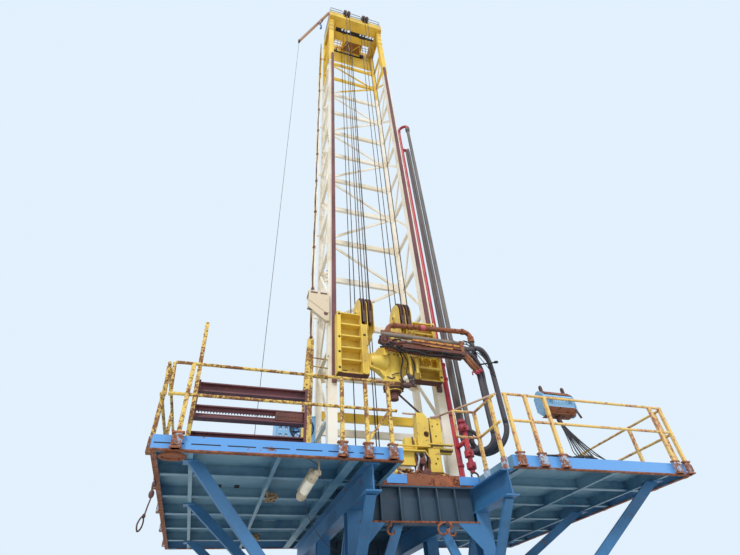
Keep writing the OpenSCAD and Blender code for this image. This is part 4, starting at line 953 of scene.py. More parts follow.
class RIG_OT_carriage(bpy.types.Operator):
    """Add the ribs, bolts, sheave hubs and slots, lower guard and step of the carriage frames"""
    bl_idname = "rig.carriage"
    bl_label = "Carriage frames"

    def execute(self, context):
        shaft_y, shaft_z, slot_low, slot_high = -1.07, 8.15, 7.68, 8.02
        for side, word in ((-1, "left"), (1, "right")):
            ribs, dark = frame_ribs(side)
            for offset in (-SHEAVE_SPACING, 0, SHEAVE_SPACING):
                x_middle = MAST_X + side * SHEAVE_X + offset
                collar = [(0, 0.07), (0.025, 0.1), (0.045, 0.1), (0.07, 0.07)]
                ribs.turned((x_middle - 0.035, shaft_y, shaft_z), (1, 0, 0), collar, 20)
            ribs.piece("carriage_ribs_" + word, "carriage", "carriage", "carriage_yellow", bevel=0.004)
            x_middle = MAST_X + side * SHEAVE_X
            shaft = [(0, 0.035), (0.01, 0.05), (0.39, 0.05), (0.4, 0.035)]
            dark.turned((x_middle - 0.2, shaft_y, shaft_z), (1, 0, 0), shaft, 16)
            dark.piece("carriage_bolts_and_shade_" + word, "shadow", "carriage", "dark_steel")
            slots = Shape()
            for offset in (-SHEAVE_SPACING / 2, SHEAVE_SPACING / 2):
                slots.box((x_middle + offset - 0.035, FRAME_FRONT - 0.012, slot_low),
                          (x_middle + offset + 0.035, FRAME_FRONT + 0.02, slot_high))
            slots.piece("carriage_sheave_slots_" + word, "brown", "carriage", "rusty_steel")
        under = Shape()
        for a, b in ((-FRAME_OUT + 0.02, -FRAME_IN), (FRAME_IN, FRAME_OUT - 0.02)):
            under.box((MAST_X + a, FRAME_FRONT + 0.02, FRAME_Z - 0.02), (MAST_X + b, -1.2, FRAME_Z - 0.002))
        under.piece("carriage_under", "rusty_dark", "carriage", "rusty_steel", bevel=0.004)
        step = Shape()
        y, low, high = -1.5, 6.565, 6.82
        for x0, x1, z in ((0.13, 0.78, high), (0.26, 0.62, low)):
            step.bar((x0, y, z), (x1, y, z), 0.03, 0.035)
        for x in (0.35, 0.55):
            step.bar((x, y, low), (x, y, high), 0.03, 0.03)
        for x in (0.14, 0.77):
            step.bar((x, y, high), (x, FRAME_FRONT + 0.03, high), 0.03, 0.035)
        step.piece("carriage_step", "carriage", "carriage", "carriage_yellow", bevel=0.003)
        return {"FINISHED"}


class RIG_OT_top_drive(bpy.types.Operator):
    """Add the top drive's flanges, lugs, motor, hoses and clamps"""
    bl_idname = "rig.top_drive"
    bl_label = "Top drive"

    def execute(self, context):
        def at(x, y, z):
            """Place measured from the foot of the drive's own axis."""
            return Vector((MAST_X + x, WELL_Y + y, DRIVE_Z + z))

        shell = Shape()
        profile = [(0.08, 0.2), (0.1, 0.222), (0.16, 0.222), (0.18, 0.214), (0.36, 0.214), (0.38, 0.2),
                   (0.7, 0.2), (0.72, 0.212), (0.78, 0.212), (0.8, 0.2), (1.02, 0.2), (1.05, 0.16)]
        shell.turned(at(0, 0, 0), (0, 0, 1), profile, 40)
        for side in (-1, 1):
            outline = ((0.525, 0.47), (0.525, 0.8), (0.4, 0.84), (0.3, 0.98), (0.12, 1.0), (0.12, 0.22),
                       (0.2, 0.24), (0.32, 0.4))
            shell.plate([at(side * x, -0.08, z) for x, z in outline], (0, 0.14, 0))
        shell.rod(at(-0.5, -0.03, 0.63), at(-0.12, -0.06, 0.6), 0.13, 20, 0.19)
        shell.box(at(0.24, -0.16, 0.5), at(0.4, 0.02, 0.98))
        shell.box(at(0.3, -0.3, 0.24), at(0.36, -0.24, 1.0))
        shell.box(at(0.46, -0.3, 0.3), at(0.52, -0.24, 0.92))
        shell.piece("top_drive_shell", "carriage", "carriage", "carriage_yellow", bevel=0.012)
        flange = Shape()
        profile = [(0, 0.12), (0.01, 0.16), (0.05, 0.185), (0.08, 0.222), (0.14, 0.228), (0.15, 0.21)]
        flange.turned(at(0, 0, -0.07), (0, 0, 1), profile, 36)
        for k in range(12):
            angle = math.tau * k / 12
            cos, sin = math.cos(angle), math.sin(angle)
            flange.bolt(at(0.205 * cos, 0.205 * sin, -0.012), (0, 0, -1), 0.016)
            flange.bolt(at(0.217 * cos, 0.217 * sin, 0.75), (cos, sin, 0), 0.013)
        flange.piece("top_drive_lower_flange", "rusty_dark", "carriage", "rusty_steel", bevel=0.003)
        box = Shape()
        box.box(at(0.14, -0.34, 1.0), at(0.42, -0.12, 1.09))
        box.box(at(0.2, -0.36, 0.96), at(0.26, -0.33, 1.05))
        box.piece("top_drive_box", "galvanised", "carriage", "grey_steel", bevel=0.008)
        rng = random.Random(4)
        hoses = Shape()
        for k in range(2):
            start = -2.5 + 0.5 * k
            way = []
            drift = rng.uniform(-0.03, 0.03)
            for j in range(6):
                angle = start + 0.16 * j
                way.append(at(0.24 * math.cos(angle), 0.24 * math.sin(angle),
                              0.2 + drift * j + 0.06 * rng.random()))
            hoses.tube(curve(way, 3), 0.011, 8)
        ways = (
            (0.017, ((-0.27, -1.64, 6.86), (-0.21, -1.67, 6.6), (-0.26, -1.66, 6.4), (-0.28, -1.65, 6.2),
                     (-0.2, -1.62, 6.05))),
            (0.012, ((-0.19, -1.6, 6.86), (-0.1, -1.67, 6.56), (-0.15, -1.67, 6.3), (-0.06, -1.64, 6.04))),
            (0.015, ((0.02, -1.6, 6.78), (0.06, -1.66, 6.5), (-0.01, -1.67, 6.24), (-0.07, -1.63, 6.0))),
            (0.01, ((0.16, -1.58, 6.75), (0.13, -1.63, 6.5), (0.02, -1.65, 6.3), (0.05, -1.62, 6.05))))
        for radius, way in ways:
            hoses.tube(curve(way, 5), radius, 8)
        hoses.piece("top_drive_hoses", "black", "carriage", "hose_rubber")
        clamps = Shape()
        clamps.turned(at(0, 0, 0.98), (0, 0, 1), [(0, 0.2), (0.004, 0.208), (0.02, 0.208), (0.024, 0.2)], 36)
        clamps.ball(at(0.22, -0.22, 0.02), 0.09, (1.3, 0.8, 0.7))
        clamps.ball(at(0.36, -0.2, 0.1), 0.07, (1, 0.8, 0.9))
        clamps.ball(at(0.3, -0.26, 0.22), 0.05, (1, 0.8, 1.4))
        for k in range(6):
            foot = at(0.12 + 0.055 * k, -0.2 - 0.02 * (k % 3), 0.02 + 0.05 * (k % 2))
            clamps.rod(foot, foot + Vector((0.1 * (-1) ** k, 0.02, 0.12 - 0.03 * k)),
                       0.018 + 0.006 * (k % 3), 10)
        clamps.rod(at(0.02, -0.05, -0.06), at(0.66, 0.05, -0.55), 0.022, 10)
        clamps.piece("top_drive_clamps", "brown", "carriage", "dark_steel")
        return {"FINISHED"}


class RIG_OT_service_arm(bpy.types.Operator):
    """Add the wrapped pipe, beams, block, tape, hose ends, spreader and cables of the service arm"""
    bl_idname = "rig.service_arm"
    bl_label = "Service arm"

    def execute(self, context):
        lo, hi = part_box("service_arm")
        y = ARM_Y
        x0, x1 = lo.x, hi.x
        wrap = Shape()
        turns = 90
        way = [(x0 + 0.04 + (x1 - x0 - 0.05) * k / turns, y, ARM_Z + 0.26 - 0.01 * k / turns)
               for k in range(turns + 1)]
        wrap.tube(way, lambda t: 0.046 + 0.01 * (int(t * turns) % 2), 12)
        wrap.piece("arm_wrapped_pipe", "grey_wrap", "carriage", "grey_steel")
        beams = Shape()
        beams.bar((x0 + 0.75, y - 0.05, ARM_Z + 0.16), (x1 + 0.01, y - 0.06, ARM_Z + 0.13), 0.035, 0.05)
        beams.bar((x0 + 0.95, y - 0.07, ARM_Z + 0.06), (x1 - 0.3, y - 0.07, ARM_Z + 0.03), 0.03, 0.03)
        beams.piece("arm_beams", "rusty_orange", "carriage", "rusty_steel", bevel=0.004)
        low = Shape()
        low.bar((x0 + 0.7, y - 0.05, ARM_Z + 0.09), (x1, y - 0.06, ARM_Z + 0.06), 0.035, 0.05)
        low.bar((x0 + 0.5, y - 0.03, ARM_Z - 0.03), (x1 + 0.01, y - 0.06, ARM_Z - 0.04), 0.06, 0.07)
        low.bar((x0 + 0.65, y + 0.05, ARM_Z - 0.12), (x1 - 0.1, y + 0.03, ARM_Z - 0.14), 0.05, 0.05)
        low.piece("arm_lower_beams", "rusty_dark", "carriage", "rusty_steel", bevel=0.004)
        dark = Shape()
        rng = random.Random(9)
        for k in range(6):
            z = ARM_Z - 0.1 + 0.05 * k
            far = x0 + rng.uniform(0.45, 0.8) if k > 1 else x1
            way = []
            for j in range(13):
                side, lift = 0.04 * rng.uniform(-1, 1), 0.03 * rng.uniform(-1, 1)
                way.append((x0 - 0.02 + (far - x0) * j / 12, y - 0.03 + side, z + lift - 0.006 * j))
            dark.tube(curve(way, 3), rng.choice((0.012, 0.018, 0.024)), 8)
        dark.piece("arm_cables", "shadow", "carriage", "dark_steel")
        block = Shape()
        block.box((x0, y - 0.05, ARM_Z + 0.02), (x0 + 0.22, y + 0.06, ARM_Z + 0.18))
        block.box((x0 + 0.06, y - 0.07, ARM_Z + 0.05), (x0 + 0.14, y - 0.04, ARM_Z + 0.15))
        block.rod((x0 + 0.3, y - 0.04, ARM_Z + 0.02), (x0 + 0.62, y - 0.04, ARM_Z + 0.1), 0.035, 12)
        block.piece("arm_left_block", "rusty_dark", "carriage", "rusty_steel", bevel=0.006)
        bands = Shape()
        a, b = Vector((MAST_X - 0.06, -1.52, 7.6)), Vector((*MUD_B, 7.6))
        at, along = a.lerp(b, 0.42), (b - a).normalized()
        bands.rod(at - along * 0.06, at + along * 0.06, 0.07, 20)
        bands.piece("arm_tape", "pink", "carriage", "pipe_red")
        # Rusty hose ends that reach down from the arm's right end
        ends, tips = Shape(), Shape()
        for dx, dz in ((0, 0), (0.085, 0.045)):
            head = Vector((x1 - 0.06 + dx, y + 0.08, ARM_Z + 0.1 + dz))
            foot = Vector((x1 + 0.31 + dx, y + 0.14, ARM_Z - 0.33 + dz))
            ends.rod(head, foot, 0.05, 14)
            tips.rod(foot, foot + (foot - head).normalized() * 0.09, 0.055, 14)
        ends.piece("arm_hose_ends", "rusty_brown", "carriage", "rusty_steel")
        handle = (x1 + 0.18, y + 0.09, ARM_Z - 0.4)
        tips.rod(handle, (x1 + 0.38, y + 0.12, ARM_Z - 0.42), 0.014, 8)
        tips.rod(handle, (x1 + 0.18, y + 0.09, ARM_Z - 0.48), 0.014, 8)
        tips.piece("arm_hose_tips", "valve_red", "carriage", "pipe_red")
        spreader = Shape()
        spreader.rod((1.56, -1.77, 6.62), (2.1, -1.8, 6.74), 0.018, 10)
        spreader.rod((2.04, -1.82, 6.72), (2.12, -1.79, 6.75), 0.032, 12)
        spreader.piece("hose_spreader", "shadow", "carriage", "dark_steel")
        cable_radius = context.scene.rig_sizes.cable
        top = Vector((x1, y, ARM_Z))
        ways = ((0.34, 0.5, -0.02), (0.28, 0.62, 0.02), (0.22, 0.56, -0.05), (0.4, 0.42, 0.05))
        for k, (lift, reach, drop) in enumerate(ways):
            way = ((0, 0.02 * k, 0.2), (0.12, 0.02 * k, lift), (reach * 0.55, 0.03 * k, lift - 0.08),
                   (reach, 0.04 + 0.03 * k, drop + 0.1), (0.735 + 0.01 * k, 0.1, -0.16 - 0.1 * k))
            cable("arm_cable_%d" % k, [top + Vector(d) for d in way], cable_radius * (1.4 - 0.2 * k),
                  body="carriage")
        return {"FINISHED"}


# Floor


class RIG_OT_floor_edge(bpy.types.Operator):
    """Add the painted shade of the front edge's slots, the rail sockets, the rail's corner bars and the side
    post's web
    """
    bl_idname = "rig.floor_edge"
    bl_label = "Floor edge"

    def execute(self, context):
        # Painted shade: thin dark boxes on the front edge stand for the shade inside its slots
        slots = Shape()
        x, slot_length, slot_pitch = LEFT_EDGE + 0.03, 0.38, 0.47
        while x < MAST_X - 1.1:
            if not (-4.36 < x + 0.2 < -4.22):
                slots.box((x, FRONT - 0.002, UNDER + 0.085), (x + slot_length, FRONT + 0.004, UNDER + 0.1))
            x += slot_pitch
        slots.piece("edge_slot_shade", "shadow", "rig", "dark_steel")
        socket, rust = Shape(), Shape()
        front_posts = (-4.292, -2.019, -1.625, -1.235, 1.0, 1.42, 1.833, 4.285, 4.54)
        for px in front_posts:
            socket.box((px - 0.07, FRONT - 0.072, FLOOR - 0.15), (px + 0.07, FRONT - 0.062, FLOOR - 0.02))
            for dz in (-0.19, 0.01):
                rust.box((px - 0.08, FRONT - 0.075, FLOOR + dz), (px + 0.08, FRONT, FLOOR + dz + 0.025))
        socket.piece("socket_faces", "socket", "rig", "rail_yellow", bevel=0.003)
        rust.piece("socket_bands", "rusty", "rig", "rusty_steel", bevel=0.003)
        corner = Shape()
        for x0, x1, z in ((-4.56, -4.515, 5.13), (-4.63, -4.59, 5.06)):
            corner.rod((x0, FRONT - 0.03, z), (x1, FRONT - 0.03, 4.62), 0.026, 12)
        corner.piece("rail_corner_bars", "rail", "rig", "rail_yellow")
        post = Shape()
        y = MAST_FRONT - 0.03
        post.plate([(-2.235, y, 7.22), (-2.15, y, 7.22), (-2.15, y, 5.72), (-2.3, y, 5.72)], (0, 0.02, 0))
        post.bar((-2.27, y, 5.74), (-2.265, y, FLOOR + 0.01), 0.045, 0.04)
        for z in (6.56, 6.77):
            post.rod((-2.15, y + 0.04, z), (MAST_X - MAST_HALF + 0.01, y + 0.06, z - 0.01), 0.014, 10)
        post.piece("side_post_web", "rail", "rig", "rail_yellow", bevel=0.004)
        return {"FINISHED"}


class RIG_OT_recess(bpy.types.Operator):
    """Add the rusty beam and blue plates at the back of the recess"""
    bl_idname = "rig.recess"
    bl_label = "Recess beam"

    def execute(self, context):
        y = RECESS_BACK
        beam = Shape()
        beam.box((-0.6, y - 0.03, UNDER + 0.002), (0.5, y - 0.002, FLOOR + 0.004))
        beam.box((-1.06, y - 0.02, UNDER + 0.002), (0.86, y - 0.002, UNDER + 0.09))
        beam.box((-1.06, y - 0.06, UNDER + 0.002), (0.86, y - 0.03, UNDER + 0.02))
        beam.piece("recess_beam", "rusty", "rig", "rusty_steel", bevel=0.004)
        plates = Shape()
        for x0, x1 in ((-0.934, -0.56), (0.452, 0.845)):
            plates.box((x0, y - 0.045, UNDER + 0.04), (x1, y - 0.03, UNDER + 0.19))
        plates.piece("recess_plates", "edge_blue", "rig", "deck_blue", bevel=0.004)
        return {"FINISHED"}


class RIG_OT_well_equipment(bpy.types.Operator):
    """Add the lips, chains, painted shadow lines, loose rusty parts and the hand bar of the floor tongs"""
    bl_idname = "rig.well_equipment"
    bl_label = "Well equipment"

    def execute(self, context):
        lo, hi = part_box("floor_tongs")
        y = lo.y
        mid = FLOOR + 0.58
        shadows = Shape()
        shadows.box((lo.x, y + 0.1, mid - 0.014), (0.02, y + 0.14, mid - 0.002))
        shadows.box((0.14, y + 0.075, mid + 0.03), (hi.x, y + 0.14, mid + 0.048))
        shadows.box((-0.16, y + 0.13, FLOOR + 0.01), (0.13, y + 0.142, mid - 0.03))
        shadows.box((-0.2, y + 0.02, mid + 0.09), (-0.17, y + 0.03, mid + 0.26))
        shadows.box((0.14, y + 0.002, mid + 0.102), (0.64, y + 0.012, mid + 0.116))
        shadows.turned((0.12, y + 0.07, mid + 0.32), (0, -1, 0), [(0, 0.05), (0.01, 0.058), (0.02, 0.05)], 20)
        for x, z in ((0.43, 0.12), (0.28, 0.5), (0.4, 0.55), (0.33, 0.3)):
            shadows.turned((x, y + 0.022, mid + z), (0, -1, 0),
                           [(0, 0.012), (0.002, 0.016), (0.012, 0.014)], 12)
        shadows.bar((0.215, y + 0.014, mid + 0.08), (0.215, y + 0.014, mid + 0.66), 0.016, 0.012)
        shadows.piece("tong_shadows", "brown", "rig", "dark_steel")
        rng = random.Random(3)
        chain, pale = Shape(), Shape()
        for k in range(8):
            x = -0.13 + 0.033 * k
            way = [(x, y + 0.1, mid + 0.02)]
            for sway, back, down in ((0.05, 0.04, 0.16), (0.06, 0.07, 0.34), (0.08, 0.03, 0.5)):
                way.append((x + rng.uniform(-sway, sway), y + back, mid - down))
            (pale if k in (1, 5) else chain).tube(curve(way, 4), rng.uniform(0.012, 0.024), 8)
        chain.turned((-0.02, y + 0.06, mid - 0.2), (0, -1, 0), [(0, 0.06), (0.02, 0.08), (0.06, 0.05)], 18)
        chain.turned((0.06, y + 0.08, mid - 0.42), (0, -1, 0), [(0, 0.08), (0.03, 0.1), (0.06, 0.06)], 18)
        chain.piece("tong_chains", "rusty_dark", "rig", "dark_steel")
        pale.piece("tong_pale_chains", "galvanised", "rig", "grey_steel")
        lip = Shape()
        lip.box((-0.62, y - 0.02, mid - 0.03), (0.04, y + 0.1, mid - 0.005))
        lip.box((-0.56, y - 0.02, mid + 0.06), (-0.1, y + 0.02, mid + 0.085))
        lip.box((0.14, y - 0.02, mid + 0.116), (0.67, y + 0.02, mid + 0.142))
        lip.bar((0.04, y - 0.01, mid - 0.015), (0.1, y - 0.01, mid - 0.12), 0.03, 0.02)
        lip.piece("tong_lips", "carriage", "rig", "carriage_yellow", bevel=0.003)
        tangle, yellow = Shape(), Shape()
        for k in range(26):
            x = -0.66 + 0.058 * (k % 20)
            z = FLOOR + 0.03 + 0.07 * rng.random() + (0.1 if k > 19 else 0.0)
            run = (x + rng.uniform(-0.18, 0.22), y + 0.08, z + rng.uniform(0.0, 0.16))
            (yellow if k % 4 == 1 else tangle).bar((x, y - 0.02 - 0.14 * rng.random(), z), run, 0.045, 0.03)
        tangle.box((-0.6, y - 0.02, FLOOR), (0.5, y + 0.1, FLOOR + 0.05))
        tangle.piece("tong_rust_parts", "rusty_brown", "rig", "rusty_steel", bevel=0.003)
        yellow.piece("tong_yellow_parts", "carriage", "rig", "carriage_yellow", bevel=0.003)
        line = Shape()
        line.rod((0.27, y + 0.02, 5.33), (0.46, y, 5.37), 0.024, 12)
        line.rod((0.46, y, 5.37), (0.86, -3.18, 5.16), 0.02, 12)
        line.ball((0.46, y, 5.37), 0.034)
        line.rod((0.5, y + 0.02, 5.36), (0.47, y + 0.04, 5.06), 0.018, 10)
        line.rod((-0.33, y + 0.04, 5.39), (-0.05, y + 0.03, 5.38), 0.02, 10)
        line.piece("hand_bar", "jib", "rig", "rusty_steel")
        return {"FINISHED"}


class RIG_OT_junction_box(bpy.types.Operator):
    """Build the blue junction box with its rust, lugs and cables, and the cables on the floor"""
    bl_idname = "rig.junction_box"
    bl_label = "Junction box"

    def execute(self, context):
        lo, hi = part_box("junction_box")
        x0, x1 = lo.x, hi.x
        y0, y1 = lo.y + 0.04, hi.y
        z0, z1 = lo.z, hi.z
        y_middle = (y0 + y1) / 2

        def ring(x, grow):
            """Eight-sided outline of the case at one x; grow moves it outward."""
            cut = 0.11 - grow * 0.3
            return [(x, y0 - grow, z0 + cut), (x, y0 + cut, z0 - grow), (x, y1 - cut, z0 - grow),
                    (x, y1 + grow, z0 + cut), (x, y1 + grow, z1 - cut), (x, y1 - cut, z1 + grow),
                    (x, y0 + cut, z1 + grow), (x, y0 - grow, z1 - cut)]

        case = Shape()
        case.plate(ring(x0 + 0.02, -0.01), (x1 - x0 - 0.04, 0, 0))
        for x in (x0, x1 - 0.03):
            case.plate(ring(x, 0.0), (0.03, 0, 0))
        case.box((x0 + 0.1, lo.y, z0 + 0.21), (x0 + 0.16, y0 + 0.02, z0 + 0.28))
        case.box((x1 - 0.16, lo.y, z0 + 0.21), (x1 - 0.1, y0 + 0.02, z0 + 0.28))
        case.piece("junction_box_case", "box_blue", "rig", "box_blue", ("junction_box",), bevel=0.006)
        rust = Shape()
        rust.box((x0 + 0.05, y_middle - 0.12, z0), (x1 - 0.05, y_middle + 0.12, z0 + 0.012))
        slope = [(x0 + 0.04, -0.001, 0.12), (x1 - 0.04, -0.001, 0.12), (x1 - 0.04, 0.1, 0.01),
                 (x0 + 0.04, 0.1, 0.01)]
        rust.plate([(x, y0 + dy, z0 + dz) for x, dy, dz in slope], (0, -0.006, -0.003))
        for x in (x0 + 0.09, x1 - 0.12):
            rust.box((x, y0 + 0.09, z1 - 0.01), (x + 0.04, y0 + 0.12, z1))
        rust.piece("junction_box_rust", "rusty", "rig", "rusty_steel", bevel=0.003)
        lugs = Shape()
        for k in range(5):
            lugs.bolt((x0 + 0.1 + k * (x1 - x0 - 0.2) / 4, y0 + 0.03, z1 - 0.075), (0, -0.7, 0.7), 0.012)
        for x in (x0 + 0.12, x1 - 0.07):
            lugs.box((x - 0.02, y_middle - 0.03, z1 - 0.01), (x + 0.02, y_middle + 0.03, z1 + 0.1))
            lugs.ball((x, y_middle, z1 + 0.11), 0.03)
        lugs.rod((x1 - 0.03, y0 + 0.02, z0 + 0.1), (x1 + 0.03, y0 + 0.02, z0 - 0.06), 0.02, 8)
        lugs.rod((x0 + 0.3, y_middle, z0 + 0.02), (x0 + 0.32, y_middle, z0 - 0.14), 0.045, 12)
        lugs.piece("junction_box_lugs", "brown", "rig", "dark_steel")
        ledge = Shape()
        ledge.box((x0 + 0.03, y0 - 0.012, z1 - 0.19), (x1 - 0.03, y0 + 0.004, z1 - 0.16))
        slope = [(x0 + 0.03, 0, 0.105), (x1 - 0.03, 0, 0.105), (x1 - 0.03, 0.09, 0.015),
                 (x0 + 0.03, 0.09, 0.015)]
        ledge.plate([(x, y0 + dy, z1 - down) for x, dy, down in slope], (0, -0.005, 0.005))
        ledge.piece("junction_box_ledge", "rusty_brown", "rig", "rusty_steel", bevel=0.002)
        cable_radius = context.scene.rig_sizes.cable
        for k in range(8):
            way = [(x0 + 0.3 + 0.006 * k, y_middle, z0 - 0.13),
                   (x0 + 0.33 + 0.02 * k, y_middle - 0.01, z0 - 0.3),
                   (x0 + 0.34 + 0.045 * k, y_middle - 0.03, z0 - 0.52),
                   (x0 + 0.32 + 0.07 * k, y_middle - 0.07, z0 - 0.7),
                   (x0 + 0.36 + 0.085 * k, -3.16 + 0.05 * (k % 3), FLOOR + 0.014)]
            cable("box_cable_%d" % k, way, cable_radius * (0.8 + 0.25 * (k % 3)))
        coil = Shape()
        for k in range(5):
            lift = FLOOR + 0.02 + 0.02 * (k % 2)
            way = [(1.56 + 0.15 * j, -3.14 + 0.05 * math.sin(j * 1.7 + k),
                    lift + 0.015 * math.sin(2.3 * j + k)) for j in range(8)]
            coil.tube(curve(way, 4), cable_radius * (0.9 + 0.3 * (k % 2)), 8)
        coil.piece("floor_cable_run", "black", "rig", "hose_rubber")
        return {"FINISHED"}


class RIG_OT_cooler(bpy.types.Operator):
    """Add the cooler's fan guard, frame bars and ports"""
    bl_idname = "rig.cooler"
    bl_label = "Cooler"

    def execute(self, context):
        hub = Vector((-2.19, -0.6, 5.37))
        guard = Shape()
        for radius in (0.245, 0.17, 0.09):
            guard.tube(arc(hub + Vector((0, -0.012, 0)), (radius, 0, 0), (0, 0, radius), 40),
                       0.012 if radius > 0.2 else 0.005, 8)
        for k in range(8):
            cos, sin = math.cos(math.tau * k / 8), math.sin(math.tau * k / 8)
            inner, outer = (hub + Vector((radius * cos, -0.014, radius * sin)) for radius in (0.03, 0.25))
            guard.rod(inner, outer, 0.005, 8)
        guard.piece("cooler_guard", "shadow", "rig", "dark_steel")
        trim = Shape()
        lo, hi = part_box("cooler_box")
        for z in (lo.z + 0.06, lo.z + 0.6, lo.z + 1.0, hi.z - 0.03):
            trim.box((lo.x, lo.y - 0.014, z), (hi.x, lo.y, z + 0.03))
        for x in (lo.x, hi.x - 0.03):
            trim.box((x, lo.y - 0.014, lo.z), (x + 0.03, lo.y, hi.z))
        trim.piece("cooler_frame", "box_blue", "rig", "box_blue", bevel=0.004)
        ports = Shape()
        for x in (0.105, 0.225):
            for z in (1.136, 1.276):
                rim = [(0, 0.028), (0.01, 0.031), (0.02, 0.028)]
                ports.turned((lo.x + x, lo.y + 0.05, lo.z + z), (0, -1, 0), rim, 18)
        ports.piece("cooler_ports", "white", "rig", "box_blue")
        return {"FINISHED"}


class RIG_OT_rack(bpy.types.Operator):
    """Add the serrated teeth and the bolted end plate of the stored beams"""
    bl_idname = "rig.rack"
    bl_label = "Beam rack"

    def execute(self, context):
        lo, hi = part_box("beam_rack")
        teeth = Shape()
        face, back = -2.62, -2.58
        x = lo.x + 0.07
        while x < hi.x - 0.52:
            for z, tall in ((FLOOR + 0.564, 0.006), (FLOOR + 0.636, -0.03)):
                teeth.plate([(x, face, z), (x + 0.03, face, z), (x + 0.015, face, z + tall)],
                            (0, back - face, 0))
            x += 0.045
        teeth.piece("rack_teeth", "maroon", "rig", "rack_maroon")
        end = Shape()
        end.box((hi.x - 0.5, -2.676, FLOOR + 0.53), (hi.x - 0.06, -2.62, FLOOR + 0.67))
        for k in range(8):
            end.bolt((hi.x - 0.46 + 0.055 * k, -2.676, FLOOR + 0.6), (0, -1, 0), 0.01)
        end.piece("rack_end_plate", "rusty_dark", "rig", "rusty_steel", bevel=0.003)
        return {"FINISHED"}


class RIG_OT_underside(bpy.types.Operator):
    """Add the lamp, its wires, the ring, the painted shade of the holes, the painted light of a gap, the rope
    bundles and the sling under the left wing
    """
    bl_idname = "rig.underside"
    bl_label = "Underside"

    def execute(self, context):
        hub = Vector((-2.3, -2.915, 3.765))
        near, far = Vector((-2.352, -2.86, 3.748)), Vector((-2.5, -2.42, 3.5))
        along = (far - near).normalized()
        housing = Shape()
        near_cap = [(-0.03, 0.04), (0, 0.07), (0.05, 0.08), (0.09, 0.072), (0.095, 0.078), (0.11, 0.078)]
        housing.turned(near, along, near_cap, 24)
        far_cap = [(0.36, 0.072), (0.375, 0.08), (0.44, 0.078), (0.48, 0.06), (0.49, 0.03)]
        housing.turned(near, along, far_cap, 24)
        housing.rod(hub + Vector((0, 0, -0.04)), (hub.x, hub.y, FLOOR - 0.013), 0.016, 12)
        housing.box(hub + Vector((-0.07, -0.025, -0.05)), hub + Vector((0.03, 0.035, 0.01)))
        back = near + Vector((0, 0.02, 0.075))
        housing.bar(back, back + along * 0.44, 0.13, 0.012)
        housing.piece("lamp_housing", "beige", "rig", "mast_cream", ("deck_lamp",), bevel=0.003)
        lens = Shape()
        lens.turned(near, along, [(0.1, 0.066), (0.14, 0.074), (0.33, 0.074), (0.37, 0.066)], 24)
        lens.piece("lamp_glass", "glass", "rig", "mast_cream")
        ring = Shape()
        centre = (-4.327, -3.02, UNDER - 0.02)
        ring.tube(arc(centre, (0.16, 0, 0), (0, 0.11, 0), 32), 0.022, 10)
        ring.turned(centre, (0, 0, 1), [(0, 0.12), (0.004, 0.13), (0.02, 0.13)], 24)
        ring.piece("corner_ring", "rusty", "rig", "rusty_steel")
        # Painted shade: dark boxes on the plate's underside stand for the shade in its holes
        holes = Shape()
        z = FLOOR - 0.0125
        for x in (-3.7, -3.4):
            holes.box((x, -1.16, z - 0.004), (x + 0.085, -1.0, z + 0.001))
        holes.box((-3.65, -0.84, z - 0.003), (-3.05, -0.82, z + 0.001))
        holes.piece("plate_hole_shade", "shadow", "rig", "dark_steel")
        # Painted light: a white patch stands for the bright light seen through a gap in the plate
        gap = Shape()
        gap.box((-2.62, 1.26, z - 0.003), (-2.36, 1.34, z + 0.001))
        gap.piece("plate_gap_light", "white", "rig", "deck_blue")
        bundles = Shape()
        rng = random.Random(7)
        for cx, cy in ((-2.79, -1.46), (-2.73, 1.5)):
            for k in range(5):
                way = [(cx + rng.uniform(-0.1, 0.1), cy + 0.125 * math.sin(j * 1.1 + k),
                        UNDER - 0.02 - 0.1 * abs(math.sin(j * 0.7 + k))) for j in range(7)]
                bundles.tube(curve(way, 4), 0.014, 8)
        bundles.piece("rope_bundles", "rope", "rig", "dark_steel")
        cable_radius = context.scene.rig_sizes.cable
        cable("lamp_wire_a", [(-2.3, -2.915, 3.85), (-2.5, -2.86, 3.97), (-2.9, -2.83, 4.01),
                              (-3.2, -2.8, 4.04)], cable_radius * 0.5)
        way = [(-2.4, -2.41, 3.535), (-2.3, -2.1, 3.4), (-2.05, -1.95, 3.1), (-1.76, -1.86, 2.95),
               (-1.655, -1.842, 3.25)]
        cable("lamp_wire_b", way, cable_radius * 0.6)
        sling = [(-4.585, -1.968, 3.86), (-4.6, -1.97, 3.74), (-4.585, -1.96, 3.62), (-4.6, -1.97, 3.5),
                 (-4.61, -1.98, 3.4), (-4.615, -2.0, 3.36), (-4.6, -2.03, 3.27), (-4.605, -2.1, 3.18),
                 (-4.63, -2.18, 3.13), (-4.65, -2.2, 3.2), (-4.64, -2.13, 3.29), (-4.622, -2.03, 3.36)]
        sling = curve(sling, 6)
        obj = Shape().tube(sling, 0.011, 8).piece("lifting_sling", "brown", "rig", "dark_steel")
        knot = Shape()
        knot.ball((-4.59, -1.965, 3.66), 0.04, (1, 0.7, 1.5))
        knot.ball((-4.585, -1.965, 3.8), 0.032, (1, 0.7, 1.5))
        knot.ball((-4.615, -2.0, 3.36), 0.024, (1, 0.8, 1.5))
        knot.piece("sling_knots", "brown", "rig", "dark_steel")
        return {"FINISHED"}


